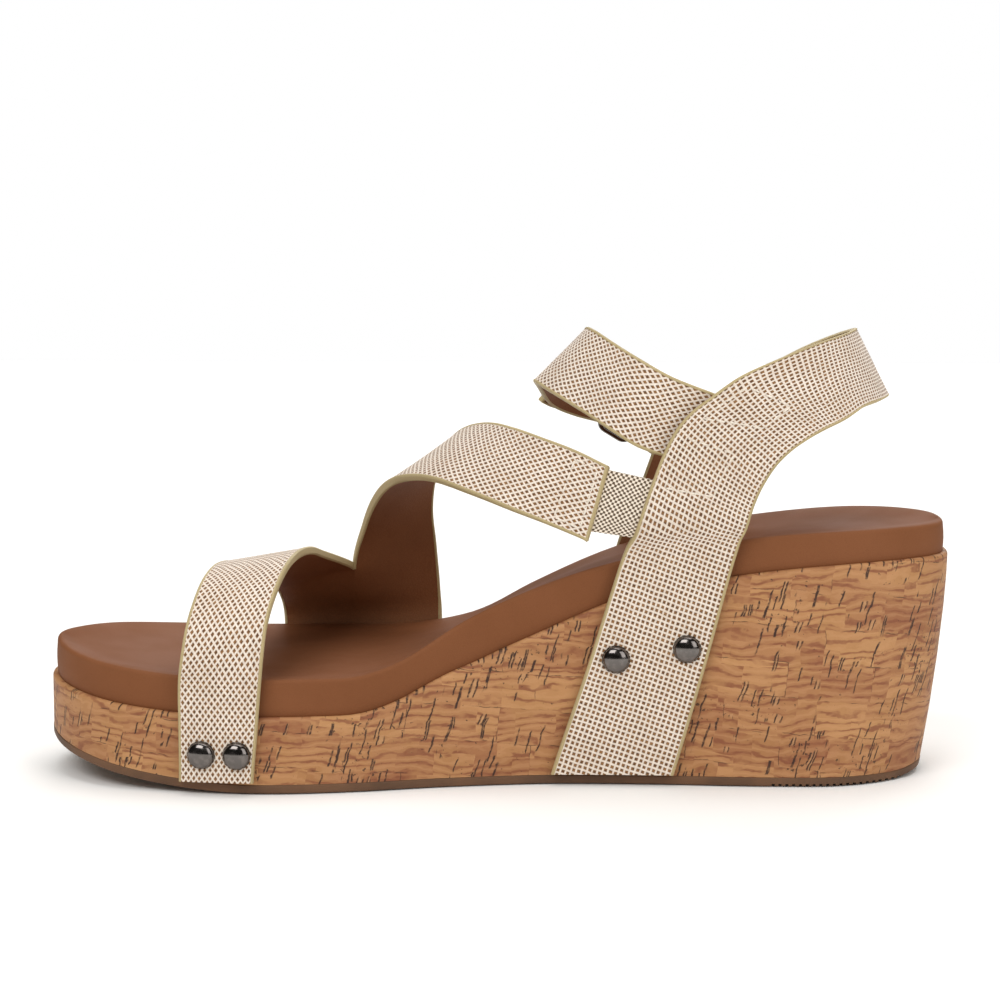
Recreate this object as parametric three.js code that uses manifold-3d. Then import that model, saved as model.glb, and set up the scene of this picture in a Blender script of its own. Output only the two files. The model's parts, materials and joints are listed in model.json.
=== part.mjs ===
// Wedge sandal for the right foot, in millimetres, +Z up.
// +X points from the toe to the heel, -Y is the inner (medial) side, +Y the outer (lateral) side.
// The sole stands on Z = 0. Every strap is a ribbon laid over an imagined foot: it is given by a few
// stations along its middle line, and each station says where the ribbon is and how it is turned.
import * as THREE from 'three';
import { mergeVertices } from 'three/addons/utils/BufferGeometryUtils.js';
import Module from 'manifold-3d';

const wasm = await Module();
wasm.setup();

// Overall sizes
const LENGTH = 245;
const BALL_WIDTH = 91;
const HEEL_WIDTH = 62;
const BALL_HEIGHT = 30;
const HEEL_HEIGHT = 68.4;
const TOE_SPRING = 9;
const HEEL_LEAN = 7;

// Sole layers
const OUTSOLE_T = 2.4;
const CORK_T = 1.2;
const BOARD_T = 1.6;
const FOOTBED_T = 9.4;
const COVER_T = 0.9;
const CORK_LIP = 1.4;
const GROOVE_PITCH = 6;
const GROOVE_W = 1.5;
const GROOVE_DEPTH = 0.9;

// Straps
const FABRIC_T = 1.0;
const LINING_T = 0.8;
const TOE_STRAP_W = 21;
const INSTEP_STRAP_W = 21;
const VAMP_BASE_W = 24;
const QUARTER_W = 29;
const HEEL_STRAP_W = 20;
const ANKLE_STRAP_W = 20;
const GORE_W = 18;
const GORE_T = 1.2;

// Closure
const RING_WIRE = 2.0;
const RING_CLEAR = 0.5;
const RING_PITCH = 10;
const TAB_W = ANKLE_STRAP_W - 2;
const TAB_T = 1.6;
const TAB_LENGTH = 15;
const TAB_DROP = 2.5;
const PATCH_T = 0.7;
const PATCH_LENGTH = 10;
const KEEPER_T = 1.2;
const KEEPER_W = 15;

// Rivets
const RIVET_HEAD_R = 3.7;
const RIVET_HEAD_H = 2.0;
const RIVET_SHANK_R = 0.9;
const RIVET_LENGTH = 11;
const RIVET_HOLE_R = 1.25;

// Clearance between two pieces that touch
const GAP = 0.3;
// Clearance between the straps and the side of the sole
const WALL_GAP = 0.4;

// ---- Small helpers --------------------------------------------------------------------------

const lerp = (a, b, t) => a + (b - a) * t;

function smooth(from, to, x) {
  const t = Math.min(1, Math.max(0, (x - from) / (to - from)));
  return t * t * (3 - 2 * t);
}

// Smooth curve through [x, value] points, flat at both ends.
function curve1d(points, x) {
  const last = points.length - 1;
  if (x <= points[0][0]) return points[0][1];
  if (x >= points[last][0]) return points[last][1];
  const i = points.findIndex((p) => p[0] > x) - 1;
  const slope = (k) => {
    if (k === 0 || k === last) return 0;
    return (points[k + 1][1] - points[k - 1][1]) / (points[k + 1][0] - points[k - 1][0]);
  };
  const h = points[i + 1][0] - points[i][0];
  const t = (x - points[i][0]) / h;
  const a = (2 * t ** 3 - 3 * t ** 2 + 1) * points[i][1] + (t ** 3 - 2 * t ** 2 + t) * h * slope(i);
  const b = (-2 * t ** 3 + 3 * t ** 2) * points[i + 1][1] + (t ** 3 - t ** 2) * h * slope(i + 1);
  return a + b;
}

// A closed solid from quads and triangles, with equal corners merged.
function solidFrom(vertices, faces) {
  const geometry = new THREE.BufferGeometry();
  geometry.setAttribute('position', new THREE.Float32BufferAttribute(vertices.flat(), 3));
  geometry.setIndex(faces.flat());
  return toManifold(geometry);
}

function toManifold(geometry) {
  geometry.deleteAttribute('normal');
  geometry.deleteAttribute('uv');
  const merged = mergeVertices(geometry, 1e-4);
  const index = [];
  for (let i = 0; i < merged.index.count; i += 3) {
    const [a, b, c] = [0, 1, 2].map((k) => merged.index.getX(i + k));
    if (a !== b && b !== c && c !== a) index.push(a, b, c);
  }
  const mesh = new wasm.Mesh({
    numProp: 3,
    vertProperties: new Float32Array(merged.attributes.position.array),
    triVerts: new Uint32Array(index),
  });
  return new wasm.Manifold(mesh);
}

const sole = new THREE.Group();
const upper = new THREE.Group();
const closure = new THREE.Group();
const rivets = new THREE.Group();

function addNode(group, name, solid, colour, roughness, metalness = 0) {
  const data = solid.getMesh();
  const geometry = new THREE.BufferGeometry();
  geometry.setAttribute('position', new THREE.BufferAttribute(data.vertProperties, 3));
  geometry.setIndex(new THREE.BufferAttribute(data.triVerts, 1));
  geometry.computeVertexNormals();
  const material = new THREE.MeshStandardMaterial({ color: colour, roughness, metalness });
  const mesh = new THREE.Mesh(geometry, material);
  mesh.name = name;
  group.add(mesh);
}

// ---- The sole's shape -----------------------------------------------------------------------

// Half the nominal width at station u, where u runs from -0.5 at the toe to 0.5 at the heel.
function halfWidth(u) {
  return lerp(BALL_WIDTH / 2, HEEL_WIDTH / 2, smooth(-0.15, 0.25, u));
}

// Edge of the sole seen from above as [u, v]: v is a share of the half width at u.
const MEDIAL_EDGE = [
  [-0.5, -0.1], [-0.476, -0.53], [-0.424, -0.81], [-0.343, -0.95], [-0.245, -1.0], [-0.155, -0.93],
  [-0.057, -0.82], [0.05, -0.81], [0.163, -0.93], [0.286, -1.03], [0.388, -0.98], [0.455, -0.74],
  [0.49, -0.4],
];
const LATERAL_EDGE = [
  [0.49, 0.22], [0.46, 0.6], [0.4, 0.9], [0.294, 1.02], [0.163, 1.06], [0.041, 1.01], [-0.082, 0.98],
  [-0.184, 1.0], [-0.286, 0.96], [-0.376, 0.82], [-0.447, 0.57], [-0.485, 0.24],
];
const outlineCurve = new THREE.CatmullRomCurve3(
  [...MEDIAL_EDGE, ...LATERAL_EDGE].map(
    ([u, v]) => new THREE.Vector3(u * LENGTH, v * halfWidth(u), 0)),
  true, 'centripetal');

// The sole is cut into cross strips: rib k joins one point of the inner edge to one of the outer.
const RIBS = 32;
const outline = outlineCurve.getSpacedPoints(400).slice(0, 400);
const toeIndex = outline.reduce((best, p, i) => (p.x < outline[best].x ? i : best), 0);
const heelIndex = outline.reduce((best, p, i) => (p.x > outline[best].x ? i : best), 0);
const medialSpan = (heelIndex - toeIndex + 400) % 400;

function edgeIndex(k, isMedial) {
  const share = (1 - Math.cos((Math.PI * k) / RIBS)) / 2;
  const span = isMedial ? medialSpan : medialSpan - 400;
  return (toeIndex + lerp(k / RIBS, share, 0.35) * span + 800) % 400;
}

function outlinePoint(index, inset) {
  const at = (i) => outline[(i + 800) % 400];
  const low = Math.floor(index);
  const p = at(low).clone().lerp(at(low + 1), index - low);
  const along = at(low + 2).clone().sub(at(low - 1)).normalize();
  return [p.x - along.y * inset, p.y + along.x * inset];
}

// Y of the cork's side at x, found on the inner (-1) or outer (+1) edge.
function sideY(x, side) {
  const edge = outline.filter((p) => Math.sign(p.y) === side).sort((a, b) => a.x - b.x);
  const i = Math.min(edge.length - 1, Math.max(1, edge.findIndex((p) => p.x > x)));
  const t = (x - edge[i - 1].x) / (edge[i].x - edge[i - 1].x || 1);
  return lerp(edge[i - 1].y, edge[i].y, t);
}

// Top of the footbed: low and level at the ball, rising to the heel along an oblique break line.
const RISE = [
  [-0.16, 0], [-0.08, 0.1], [0, 0.365], [0.08, 0.6], [0.16, 0.77], [0.25, 0.89], [0.36, 0.97], [0.5, 1],
];
const BREAK_SKEW = 0.24;
const SPRING_START = -0.245;

function toeLift(x) {
  const t = Math.max(0, (SPRING_START - x / LENGTH) / (SPRING_START + 0.5));
  return TOE_SPRING * t * t;
}

function footbedTop(x, y) {
  const s = x - BREAK_SKEW * y * smooth(-0.2, 0, x / LENGTH);
  return BALL_HEIGHT + (HEEL_HEIGHT - BALL_HEIGHT) * curve1d(RISE, s / LENGTH) + 0.6 * toeLift(x);
}

// The footbed is thicker at the waist and thinner under the heel.
const WAIST_EXTRA = 2.4;
const HEEL_LESS = 1.2;

function footbedThickness(x) {
  const u = x / LENGTH;
  const waist = smooth(-0.09, -0.01, u) * (1 - smooth(0.03, 0.16, u));
  return FOOTBED_T + WAIST_EXTRA * waist - HEEL_LESS * smooth(0.15, 0.45, u);
}

const corkTop = (x, y) => footbedTop(x, y) - footbedThickness(x) * 1.03;
const soleBottom = (x) => toeLift(x) + 1.2 * smooth(0.46, 0.5, x / LENGTH);
const outsoleTop = (x) => soleBottom(x) + OUTSOLE_T;

// The heel's back leans in towards the ground.
function leanX(x, z) {
  const low = 1 - Math.min(1, Math.max(0, z / (HEEL_HEIGHT - FOOTBED_T)));
  return x - HEEL_LEAN * low * smooth(0.3, 0.5, x / LENGTH);
}

// A layer of the sole between two height functions, inset from the outline.
function soleLayer(inset, bottom, top, across = 3) {
  const vertices = [];
  const faces = [];
  const row = across + 1;
  for (const height of [bottom, top]) {
    for (let k = 0; k <= RIBS; k++) {
      const a = outlinePoint(edgeIndex(k, true), inset);
      const b = outlinePoint(edgeIndex(k, false), inset);
      const isTip = k === 0 || k === RIBS;
      for (let j = 0; j <= across; j++) {
        const t = isTip ? 0.5 : j / across;
        const x = lerp(a[0], b[0], t);
        const y = lerp(a[1], b[1], t);
        const z = height(x, y);
        vertices.push([leanX(x, z), y, z]);
      }
    }
  }
  const id = (level, k, j) => (level * (RIBS + 1) + k) * row + j;
  for (let k = 0; k < RIBS; k++) {
    for (let j = 0; j < across; j++) {
      const [a, b, c, d] = [id(1, k, j), id(1, k + 1, j), id(1, k + 1, j + 1), id(1, k, j + 1)];
      faces.push([a, b, c], [a, c, d]);
      const [e, f, g, h] = [id(0, k, j), id(0, k + 1, j), id(0, k + 1, j + 1), id(0, k, j + 1)];
      faces.push([e, g, f], [e, h, g]);
    }
    const [m, n, o, p] = [id(0, k, 0), id(0, k + 1, 0), id(1, k + 1, 0), id(1, k, 0)];
    faces.push([m, n, o], [m, o, p]);
    const [q, r, s, t] = [id(0, k, across), id(0, k + 1, across), id(1, k + 1, across), id(1, k, across)];
    faces.push([q, s, r], [q, t, s]);
  }
  return solidFrom(vertices, faces);
}

function box(x0, x1, y0, y1, z0, z1) {
  const geometry = new THREE.BoxGeometry(x1 - x0, y1 - y0, z1 - z0);
  geometry.translate((x0 + x1) / 2, (y0 + y1) / 2, (z0 + z1) / 2);
  return toManifold(geometry);
}

// ---- Sole unit ------------------------------------------------------------------------------

function makeOutsole() {
  let outsole = soleLayer(0, soleBottom, outsoleTop);
  const zones = [[-0.34, -0.08], [0.2, 0.44]];
  for (const [from, to] of zones) {
    for (let x = from * LENGTH; x < to * LENGTH; x += GROOVE_PITCH) {
      const floor = soleBottom(x) + GROOVE_DEPTH;
      outsole = outsole.subtract(box(x, x + GROOVE_W, -BALL_WIDTH, BALL_WIDTH, -TOE_SPRING, floor));
    }
  }
  addNode(sole, 'outsole', outsole, '#5f4730', 0.75);
}

const coreBottom = (x) => outsoleTop(x) + GAP;
const boardTop = (x, y) => corkTop(x, y) - GAP;
const boardBottom = (x, y) => boardTop(x, y) - BOARD_T;
const coreTop = (x, y) => boardBottom(x, y) - GAP;

function makeWedgeCore(holes) {
  const core = soleLayer(CORK_T + GAP, coreBottom, coreTop);
  addNode(sole, 'wedge_core', core.subtract(holes), '#b9a58a', 0.9);
}

// The sheet's two ends meet in a seam on the outer side of the waist.
function makeCorkWrap(holes) {
  const block = soleLayer(0, coreBottom, boardTop);
  const inside = soleLayer(CORK_T, (x) => outsoleTop(x) - 1, (x, y) => corkTop(x, y) + 1);
  const seamX = 0.1 * LENGTH;
  const seam = box(seamX, seamX + GAP, 0, BALL_WIDTH, -1, HEEL_HEIGHT);
  addNode(sole, 'cork_wrap', block.subtract(inside).subtract(seam).subtract(holes), '#c6935f', 0.8);
}

function makeInsoleBoard() {
  addNode(sole, 'insole_board', soleLayer(CORK_T + GAP, boardBottom, boardTop), '#8a7a66', 0.9);
}

function makeFootbed() {
  const inner = CORK_LIP + COVER_T;
  const foamTop = (x, y) => footbedTop(x, y) - COVER_T - GAP;
  addNode(sole, 'footbed_foam', soleLayer(inner + GAP, corkTop, foamTop), '#d8c7a8', 0.95);
  const shell = soleLayer(CORK_LIP, corkTop, footbedTop);
  const hollow = soleLayer(inner, (x, y) => corkTop(x, y) - 1, (x, y) => footbedTop(x, y) - COVER_T);
  addNode(sole, 'footbed_cover', shell.subtract(hollow), '#845a3f', 0.6);
}

// ---- Straps ---------------------------------------------------------------------------------

// One station of a strap: where the middle of the ribbon is, the way its width points, its width.
function station(u, v, h, across, width) {
  const x = u * LENGTH;
  const y = v * halfWidth(u);
  return {
    centre: new THREE.Vector3(x, y, footbedTop(x, y) + h),
    across: new THREE.Vector3(...across).normalize(),
    width,
  };
}

// Stations on the side of the sole, from the outsole to the footbed's edge.
function leg(side, uLow, uHigh, width, lowWidth = width) {
  return [[uLow, 0], [lerp(uLow, uHigh, 0.5), 0.5], [uHigh, 1]].map(([u, t]) => {
    const x = u * LENGTH;
    const y = sideY(x, side) + side * WALL_GAP;
    const z = lerp(outsoleTop(x) + 2 * GAP, footbedTop(x, y), t);
    const centre = new THREE.Vector3(x, y, z);
    return { centre, across: new THREE.Vector3(1, 0, 0), width: lerp(lowWidth, width, t) };
  });
}

// The strap's inner face at (s, t): s runs along it and t from -0.5 to 0.5 across it.
function ribbonSurface(stations) {
  const centres = new THREE.CatmullRomCurve3(stations.map((p) => p.centre), false, 'centripetal');
  const acrosses = stations.map((p) => p.across);
  const widths = stations.map((p, i) => [i, p.width]);
  const turned = new THREE.CatmullRomCurve3(acrosses, false, 'catmullrom', 0.5);
  return (s, t) => {
    const spot = centres.getPoint(s);
    const width = curve1d(widths, s * (stations.length - 1));
    const across = turned.getPoint(s).normalize();
    spot.addScaledVector(across, t * width);
    const side = Math.sign(spot.y) || 1;
    const rim = footbedTop(spot.x, spot.y);
    const hold = 1 - smooth(rim - 1, rim + 9, spot.z);
    if (hold > 0) spot.y = lerp(spot.y, sideY(spot.x, side) + side * WALL_GAP, hold);
    return spot;
  };
}

// Solid between two offsets of a ribbon's surface; s0 to s1 is the stretch that is built.
function ribbon(surface, low, high, { s0 = 0, s1 = 1, steps = 30, across = 2, flip = 1 } = {}) {
  const grid = [];
  const e = 1e-3;
  for (let i = 0; i <= steps; i++) {
    for (let j = 0; j <= across; j++) {
      const s = lerp(s0, s1, i / steps);
      const t = j / across - 0.5;
      const along = surface(Math.min(1, s + e), t).sub(surface(Math.max(0, s - e), t));
      const wide = surface(s, t + e).sub(surface(s, t - e));
      grid.push({ spot: surface(s, t), normal: wide.cross(along).normalize().multiplyScalar(flip) });
    }
  }
  const vertices = [];
  for (const offset of [low, high]) {
    for (const { spot, normal } of grid) {
      vertices.push(spot.clone().addScaledVector(normal, offset).toArray());
    }
  }
  const id = (level, i, j) => (level * (steps + 1) + i) * (across + 1) + j;
  const quads = [];
  for (let i = 0; i < steps; i++) {
    for (let j = 0; j < across; j++) {
      quads.push([id(1, i, j), id(1, i, j + 1), id(1, i + 1, j + 1), id(1, i + 1, j)]);
      quads.push([id(0, i, j), id(0, i + 1, j), id(0, i + 1, j + 1), id(0, i, j + 1)]);
    }
    quads.push([id(0, i, 0), id(1, i, 0), id(1, i + 1, 0), id(0, i + 1, 0)]);
    quads.push([id(0, i, across), id(0, i + 1, across), id(1, i + 1, across), id(1, i, across)]);
  }
  for (let j = 0; j < across; j++) {
    quads.push([id(0, 0, j), id(0, 0, j + 1), id(1, 0, j + 1), id(1, 0, j)]);
    quads.push([id(0, steps, j), id(1, steps, j), id(1, steps, j + 1), id(0, steps, j + 1)]);
  }
  const faces = quads.flatMap(([a, b, c, d]) => (flip > 0
    ? [[a, b, c], [a, c, d]]
    : [[a, c, b], [a, d, c]]));
  return solidFrom(vertices, faces);
}

// ---- Strap routes: [u, v, height above the footbed, way the width points, width] ---------------

// Where the vamp's two legs stand on the outer side: the rear one starts where the front one ends.
const TOE_LEG_U = -0.218;
const ARM_SPLIT_X = TOE_LEG_U * LENGTH + TOE_STRAP_W / 2;
const VAMP_LEG_U = (ARM_SPLIT_X + VAMP_BASE_W / 2) / LENGTH;

const TOE_ROUTE = [
  ...leg(-1, -0.296, -0.291, TOE_STRAP_W, TOE_STRAP_W - 2),
  station(-0.286, -0.95, 12, [1, 0.05, 0.08], TOE_STRAP_W),
  station(-0.278, -0.79, 20.3, [1, 0.06, 0.08], TOE_STRAP_W),
  station(-0.270, -0.56, 25, [1, 0.12, 0.11], TOE_STRAP_W + 0.5),
  station(-0.261, -0.23, 26, [0.95, 0.2, 0.13], TOE_STRAP_W + 1),
  station(-0.249, 0.22, 22.6, [0.95, -0.12, 0.22], TOE_STRAP_W + 1),
  station(-0.236, 0.54, 17.4, [0.93, -0.25, 0.25], TOE_STRAP_W),
  station(-0.224, 0.78, 12, [0.96, -0.15, 0.15], TOE_STRAP_W),
  ...leg(1, TOE_LEG_U, TOE_LEG_U, TOE_STRAP_W).reverse(),
];

const INSTEP_ROUTE = [
  station(0.110, -0.92, 17, [0.28, 0.18, 0.94], INSTEP_STRAP_W - 1),
  station(0.072, -0.79, 24, [0.36, 0.27, 0.9], INSTEP_STRAP_W - 0.5),
  station(0.035, -0.63, 30.8, [0.38, 0.38, 0.85], INSTEP_STRAP_W),
  station(-0.001, -0.43, 38, [0.46, 0.45, 0.76], INSTEP_STRAP_W + 0.5),
  station(-0.039, -0.16, 45.5, [0.64, 0.4, 0.65], INSTEP_STRAP_W + 0.5),
  station(-0.072, 0.13, 48.6, [0.74, 0.36, 0.57], INSTEP_STRAP_W),
  station(-0.095, 0.37, 46, [0.76, 0.47, 0.42], INSTEP_STRAP_W),
  station(-0.112, 0.56, 39.8, [0.77, 0.56, 0.26], INSTEP_STRAP_W),
  station(-0.121, 0.68, 32, [0.84, 0.45, 0.14], INSTEP_STRAP_W),
  station(VAMP_LEG_U + 0.002, 0.78, 23, [0.94, 0.28, 0.05], lerp(INSTEP_STRAP_W, VAMP_BASE_W, 0.4)),
  station(VAMP_LEG_U + 0.001, 0.88, 13, [0.97, 0.18, 0], lerp(INSTEP_STRAP_W, VAMP_BASE_W, 0.8)),
  ...leg(1, VAMP_LEG_U, VAMP_LEG_U, VAMP_BASE_W).reverse(),
];

// One loop: up the inner side, round the heel and down the outer side.
const QUARTER_SIDE = [
  [0.210, 1.07, 6, [1, 0, -0.03], QUARTER_W - 1],
  [0.220, 1.06, 13, [0.98, 0, -0.17], QUARTER_W - 2],
  [0.231, 1.05, 19.4, [0.96, 0, -0.27], QUARTER_W - 2],
  [0.246, 1.04, 25.3, [0.95, 0, -0.32], QUARTER_W - 1.5],
  [0.264, 1.02, 29.3, [0.94, 0, -0.34], QUARTER_W - 1],
  [0.283, 1, 32, [0.92, 0, -0.39], QUARTER_W - 1.5],
  [0.306, 0.96, 35, [0.86, 0.02, -0.5], QUARTER_W - 2.5],
  [0.337, 0.88, 37.8, [0.75, 0.03, -0.66], lerp(QUARTER_W, HEEL_STRAP_W, 0.6)],
  [0.364, 0.73, 40.2, [0.62, 0.03, -0.78], lerp(QUARTER_W, HEEL_STRAP_W, 0.9)],
  [0.391, 0.44, 41.4, [0.5, 0, -0.87], HEEL_STRAP_W],
];

// The heel strap runs lower on the outer side, by up to this much.
const OUTER_DROP = 6;
const outerDrop = (u) => OUTER_DROP * smooth(0.22, 0.29, u) * (1 - smooth(0.32, 0.43, u));

function quarterSide(side) {
  return QUARTER_SIDE.map(([u, v, h, [ax, ay, az], width]) =>
    station(u, side * v, side > 0 ? h - outerDrop(u) : h, [ax, -side * ay, az], width));
}

const QUARTER_ROUTE = [
  ...leg(-1, 0.126, 0.199, QUARTER_W, QUARTER_W + 3),
  ...quarterSide(-1),
  station(0.404, 0, 41.6, [0.45, 0, -0.89], HEEL_STRAP_W),
  ...quarterSide(1).reverse(),
  ...leg(1, 0.126, 0.199, QUARTER_W, QUARTER_W + 3).reverse(),
];

const ANKLE_ROUTE = [
  station(0.225, -0.98, 30, [0.55, 0.1, 0.83], ANKLE_STRAP_W),
  station(0.170, -0.93, 37.5, [0.45, 0.14, 0.88], ANKLE_STRAP_W),
  station(0.143, -0.78, 42.6, [0.4, 0.22, 0.89], ANKLE_STRAP_W),
  station(0.112, -0.52, 49.4, [0.42, 0.26, 0.87], ANKLE_STRAP_W),
  station(0.086, -0.26, 55.5, [0.55, 0.17, 0.82], ANKLE_STRAP_W),
  station(0.072, 0.05, 58.4, [0.7, 0.02, 0.71], ANKLE_STRAP_W),
  station(0.075, 0.34, 56.2, [0.7, -0.02, 0.71], ANKLE_STRAP_W),
  station(0.084, 0.64, 51.9, [0.64, -0.05, 0.77], ANKLE_STRAP_W),
  station(0.105, 0.84, 47.2, [0.57, -0.03, 0.82], lerp(ANKLE_STRAP_W, TAB_W, 0.6)),
  station(0.135, 0.94, 42.2, [0.54, 0, 0.84], TAB_W),
];

const toeArm = ribbonSurface(TOE_ROUTE);
const instepArm = ribbonSurface(INSTEP_ROUTE);
const quarterSurface = ribbonSurface(QUARTER_ROUTE);
const ankleSurface = ribbonSurface(ANKLE_ROUTE);

// Below the notch the vamp's two arms are one panel. Their edges are drawn to one line, on the plane
// of ARM_SPLIT_X, whose Y is read between the two edges at the same height.
const NOTCH_Z = BALL_HEIGHT + 17.5;
const EDGE_SPOTS = 200;
// Share of a route, next to the notch, over which an arm takes its own line again
const NOTCH_EASE = 0.12;

// The stretch of an arm's edge on the outer side, from the notch down.
function lowEdge(arm, t) {
  const shares = Array.from({ length: EDGE_SPOTS + 1 }, (_, i) => i / EDGE_SPOTS);
  const spots = shares.map((s) => ({ s, spot: arm(s, t) }));
  return spots.filter(({ s, spot }) => s > 0.5 && spot.z <= NOTCH_Z);
}

const toeEdge = lowEdge(toeArm, 0.5);
const instepEdge = lowEdge(instepArm, -0.5);

function atHeight(edge, z) {
  const i = edge.findIndex(({ spot }) => spot.z < z);
  if (i <= 0) return edge[i === 0 ? 0 : edge.length - 1].spot;
  const [a, b] = [edge[i - 1].spot, edge[i].spot];
  return a.clone().lerp(b, (a.z - z) / (a.z - b.z));
}

function panelLine(z) {
  const [front, rear] = [atHeight(toeEdge, z), atHeight(instepEdge, z)];
  const span = rear.x - front.x;
  const share = span > GAP ? Math.min(1, Math.max(0, (ARM_SPLIT_X - front.x) / span)) : 0.5;
  return new THREE.Vector3(ARM_SPLIT_X, lerp(front.y, rear.y, share), z);
}

// An arm whose edge at t = edgeT is drawn to the panel's line.
function drawnArm(arm, edge, edgeT) {
  const notch = edge[0];
  const atNotch = panelLine(notch.spot.z).sub(notch.spot);
  return (s, t) => {
    const spot = arm(s, t);
    const pull = smooth(-0.25, 0.5, t * Math.sign(edgeT));
    const rim = arm(s, edgeT);
    const move = s < notch.s
      ? atNotch.clone().multiplyScalar(smooth(notch.s - NOTCH_EASE, notch.s, s))
      : panelLine(rim.z).sub(rim);
    return spot.addScaledVector(move, pull);
  };
}

const toeSurface = drawnArm(toeArm, toeEdge, 0.5);
const instepSurface = drawnArm(instepArm, instepEdge, -0.5);

// Layers of a strap, counted outwards from its inner face
const OUTER_LOW = LINING_T + GAP;
const STRAP_T = OUTER_LOW + FABRIC_T;

// ---- Rivets ---------------------------------------------------------------------------------

// Each rivet stands square to the side of the sole at station x and height z.
function rivetFrame(x, z, side) {
  const slope = (sideY(x + 2, side) - sideY(x - 2, side)) / 4;
  const out = new THREE.Vector3(-slope, 1, 0).multiplyScalar(side).normalize();
  const wall = new THREE.Vector3(x, sideY(x, side), z);
  return { out, face: wall.addScaledVector(out, WALL_GAP + STRAP_T + GAP) };
}

function pairOnStrap(label, centreX, spread, z, lift, side) {
  return [-1, 1].map((end, i) => {
    const x = centreX + (end * spread) / 2;
    return { name: `rivet_${label}_${i + 1}`, ...rivetFrame(x, z + (end * lift) / 2, side) };
  });
}

const RIVET_Z = 10.7;
const RIVET_SPREAD = 9.2;
const QUARTER_RIVET_Z = 35.6;
const QUARTER_RIVET_SPREAD = 18.8;
const legX = (route, i) => route[i].centre.x;
const RIVETS = [
  ...pairOnStrap('toe_medial', legX(TOE_ROUTE, 0) + 1, RIVET_SPREAD, RIVET_Z, 0, -1),
  ...pairOnStrap('quarter_medial', 0.168 * LENGTH, QUARTER_RIVET_SPREAD, QUARTER_RIVET_Z, 3, -1),
  ...pairOnStrap('toe_lateral', legX(TOE_ROUTE, TOE_ROUTE.length - 1), RIVET_SPREAD, RIVET_Z, 0, 1),
  ...pairOnStrap('vamp_lateral', legX(INSTEP_ROUTE, INSTEP_ROUTE.length - 1), RIVET_SPREAD, RIVET_Z, 0, 1),
  ...pairOnStrap('quarter_lateral', 0.168 * LENGTH, QUARTER_RIVET_SPREAD, QUARTER_RIVET_Z, 3, 1),
];

// A lathed solid whose axis starts at a point and runs along a direction.
function latheAlong(profile, sides, start, direction) {
  const points = profile.map(([r, y]) => new THREE.Vector2(r, y));
  const geometry = new THREE.LatheGeometry(points, sides);
  const turn = new THREE.Quaternion().setFromUnitVectors(new THREE.Vector3(0, 1, 0), direction);
  geometry.applyQuaternion(turn);
  geometry.translate(start.x, start.y, start.z);
  return toManifold(geometry);
}

function makeRivets() {
  const profile = [
    [0, -RIVET_LENGTH], [RIVET_SHANK_R, -RIVET_LENGTH + 1], [RIVET_SHANK_R, 0], [RIVET_HEAD_R, 0],
    [RIVET_HEAD_R, 0.5], [RIVET_HEAD_R * 0.92, 0.75], [RIVET_HEAD_R * 0.75, RIVET_HEAD_H * 0.7],
    [RIVET_HEAD_R * 0.4, RIVET_HEAD_H * 0.94], [0, RIVET_HEAD_H],
  ];
  for (const { name, out, face } of RIVETS) {
    addNode(rivets, name, latheAlong(profile, 10, face, out), '#3a3837', 0.25, 1);
  }
}

function makeRivetHoles() {
  const depth = RIVET_LENGTH + 1;
  const profile = [[0, -depth], [RIVET_HOLE_R, -depth], [RIVET_HOLE_R, 2], [0, 2]];
  const holes = RIVETS.map(({ out, face }) => latheAlong(profile, 6, face, out));
  return holes.reduce((all, one) => all.add(one));
}

// ---- Upper ----------------------------------------------------------------------------------

const FABRIC = '#d9c9b4';
const LINING = '#6a4129';

function addStrap(group, name, surface, options, trim = (solid) => solid) {
  const outer = ribbon(surface, OUTER_LOW, STRAP_T, options);
  const lining = ribbon(surface, 0, LINING_T, options);
  addNode(group, `${name}_outer`, trim(outer), FABRIC, 0.85);
  addNode(group, `${name}_lining`, trim(lining), LINING, 0.6);
}

// The rear arm of the vamp flexes above this height. Its base is built from BASE_S on, the arm to ARM_S.
const HINGE_Z = footbedTop(ARM_SPLIT_X, BALL_WIDTH / 2) + 3;
const BASE_S = 0.72;
const ARM_S = 0.9;
const FAR = 2 * LENGTH;

function makeVamp(holes) {
  const front = box(-FAR, ARM_SPLIT_X - GAP / 2, -FAR, FAR, -FAR, FAR);
  const rear = box(ARM_SPLIT_X + GAP / 2, FAR, -FAR, FAR, -FAR, FAR);
  const low = box(-FAR, FAR, 0, FAR, -FAR, HINGE_Z - GAP / 2);
  addStrap(upper, 'toe_strap', toeSurface, { steps: 30, across: 4 },
    (solid) => solid.intersect(front).subtract(holes));
  addStrap(upper, 'vamp_base', instepSurface, { s0: BASE_S, steps: 6, across: 4 },
    (solid) => solid.intersect(rear).intersect(low).subtract(holes));
  const lift = box(-FAR, FAR, 0, FAR, -FAR, HINGE_Z + GAP / 2);
  addStrap(upper, 'instep_strap', instepSurface, { s1: ARM_S, steps: 26, across: 4 },
    (solid) => solid.intersect(rear).subtract(lift));
}

// The outer quarter is sewn end to end to the heel strap at this share of the loop.
const SEAM_S = 0.615;
const SEAM_GAP_S = 0.001;

function makeQuarters(holes) {
  const trim = (solid) => solid.subtract(holes);
  addStrap(upper, 'medial_quarter', quarterSurface, { s1: SEAM_S - SEAM_GAP_S, steps: 34 }, trim);
  addStrap(upper, 'lateral_quarter', quarterSurface, { s0: SEAM_S + SEAM_GAP_S, steps: 20 }, trim);
}

// Room that a strap takes, with the clearance on every side.
function roomOf(route, s0, s1) {
  const wider = route.map((p) => ({ ...p, width: p.width + 2 * GAP }));
  return ribbon(ribbonSurface(wider), -4, STRAP_T + 4, { s0, s1, steps: 24 });
}

// Where the middle of the gore meets the inner quarter
const GORE_END = [0.125, -0.35];

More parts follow.
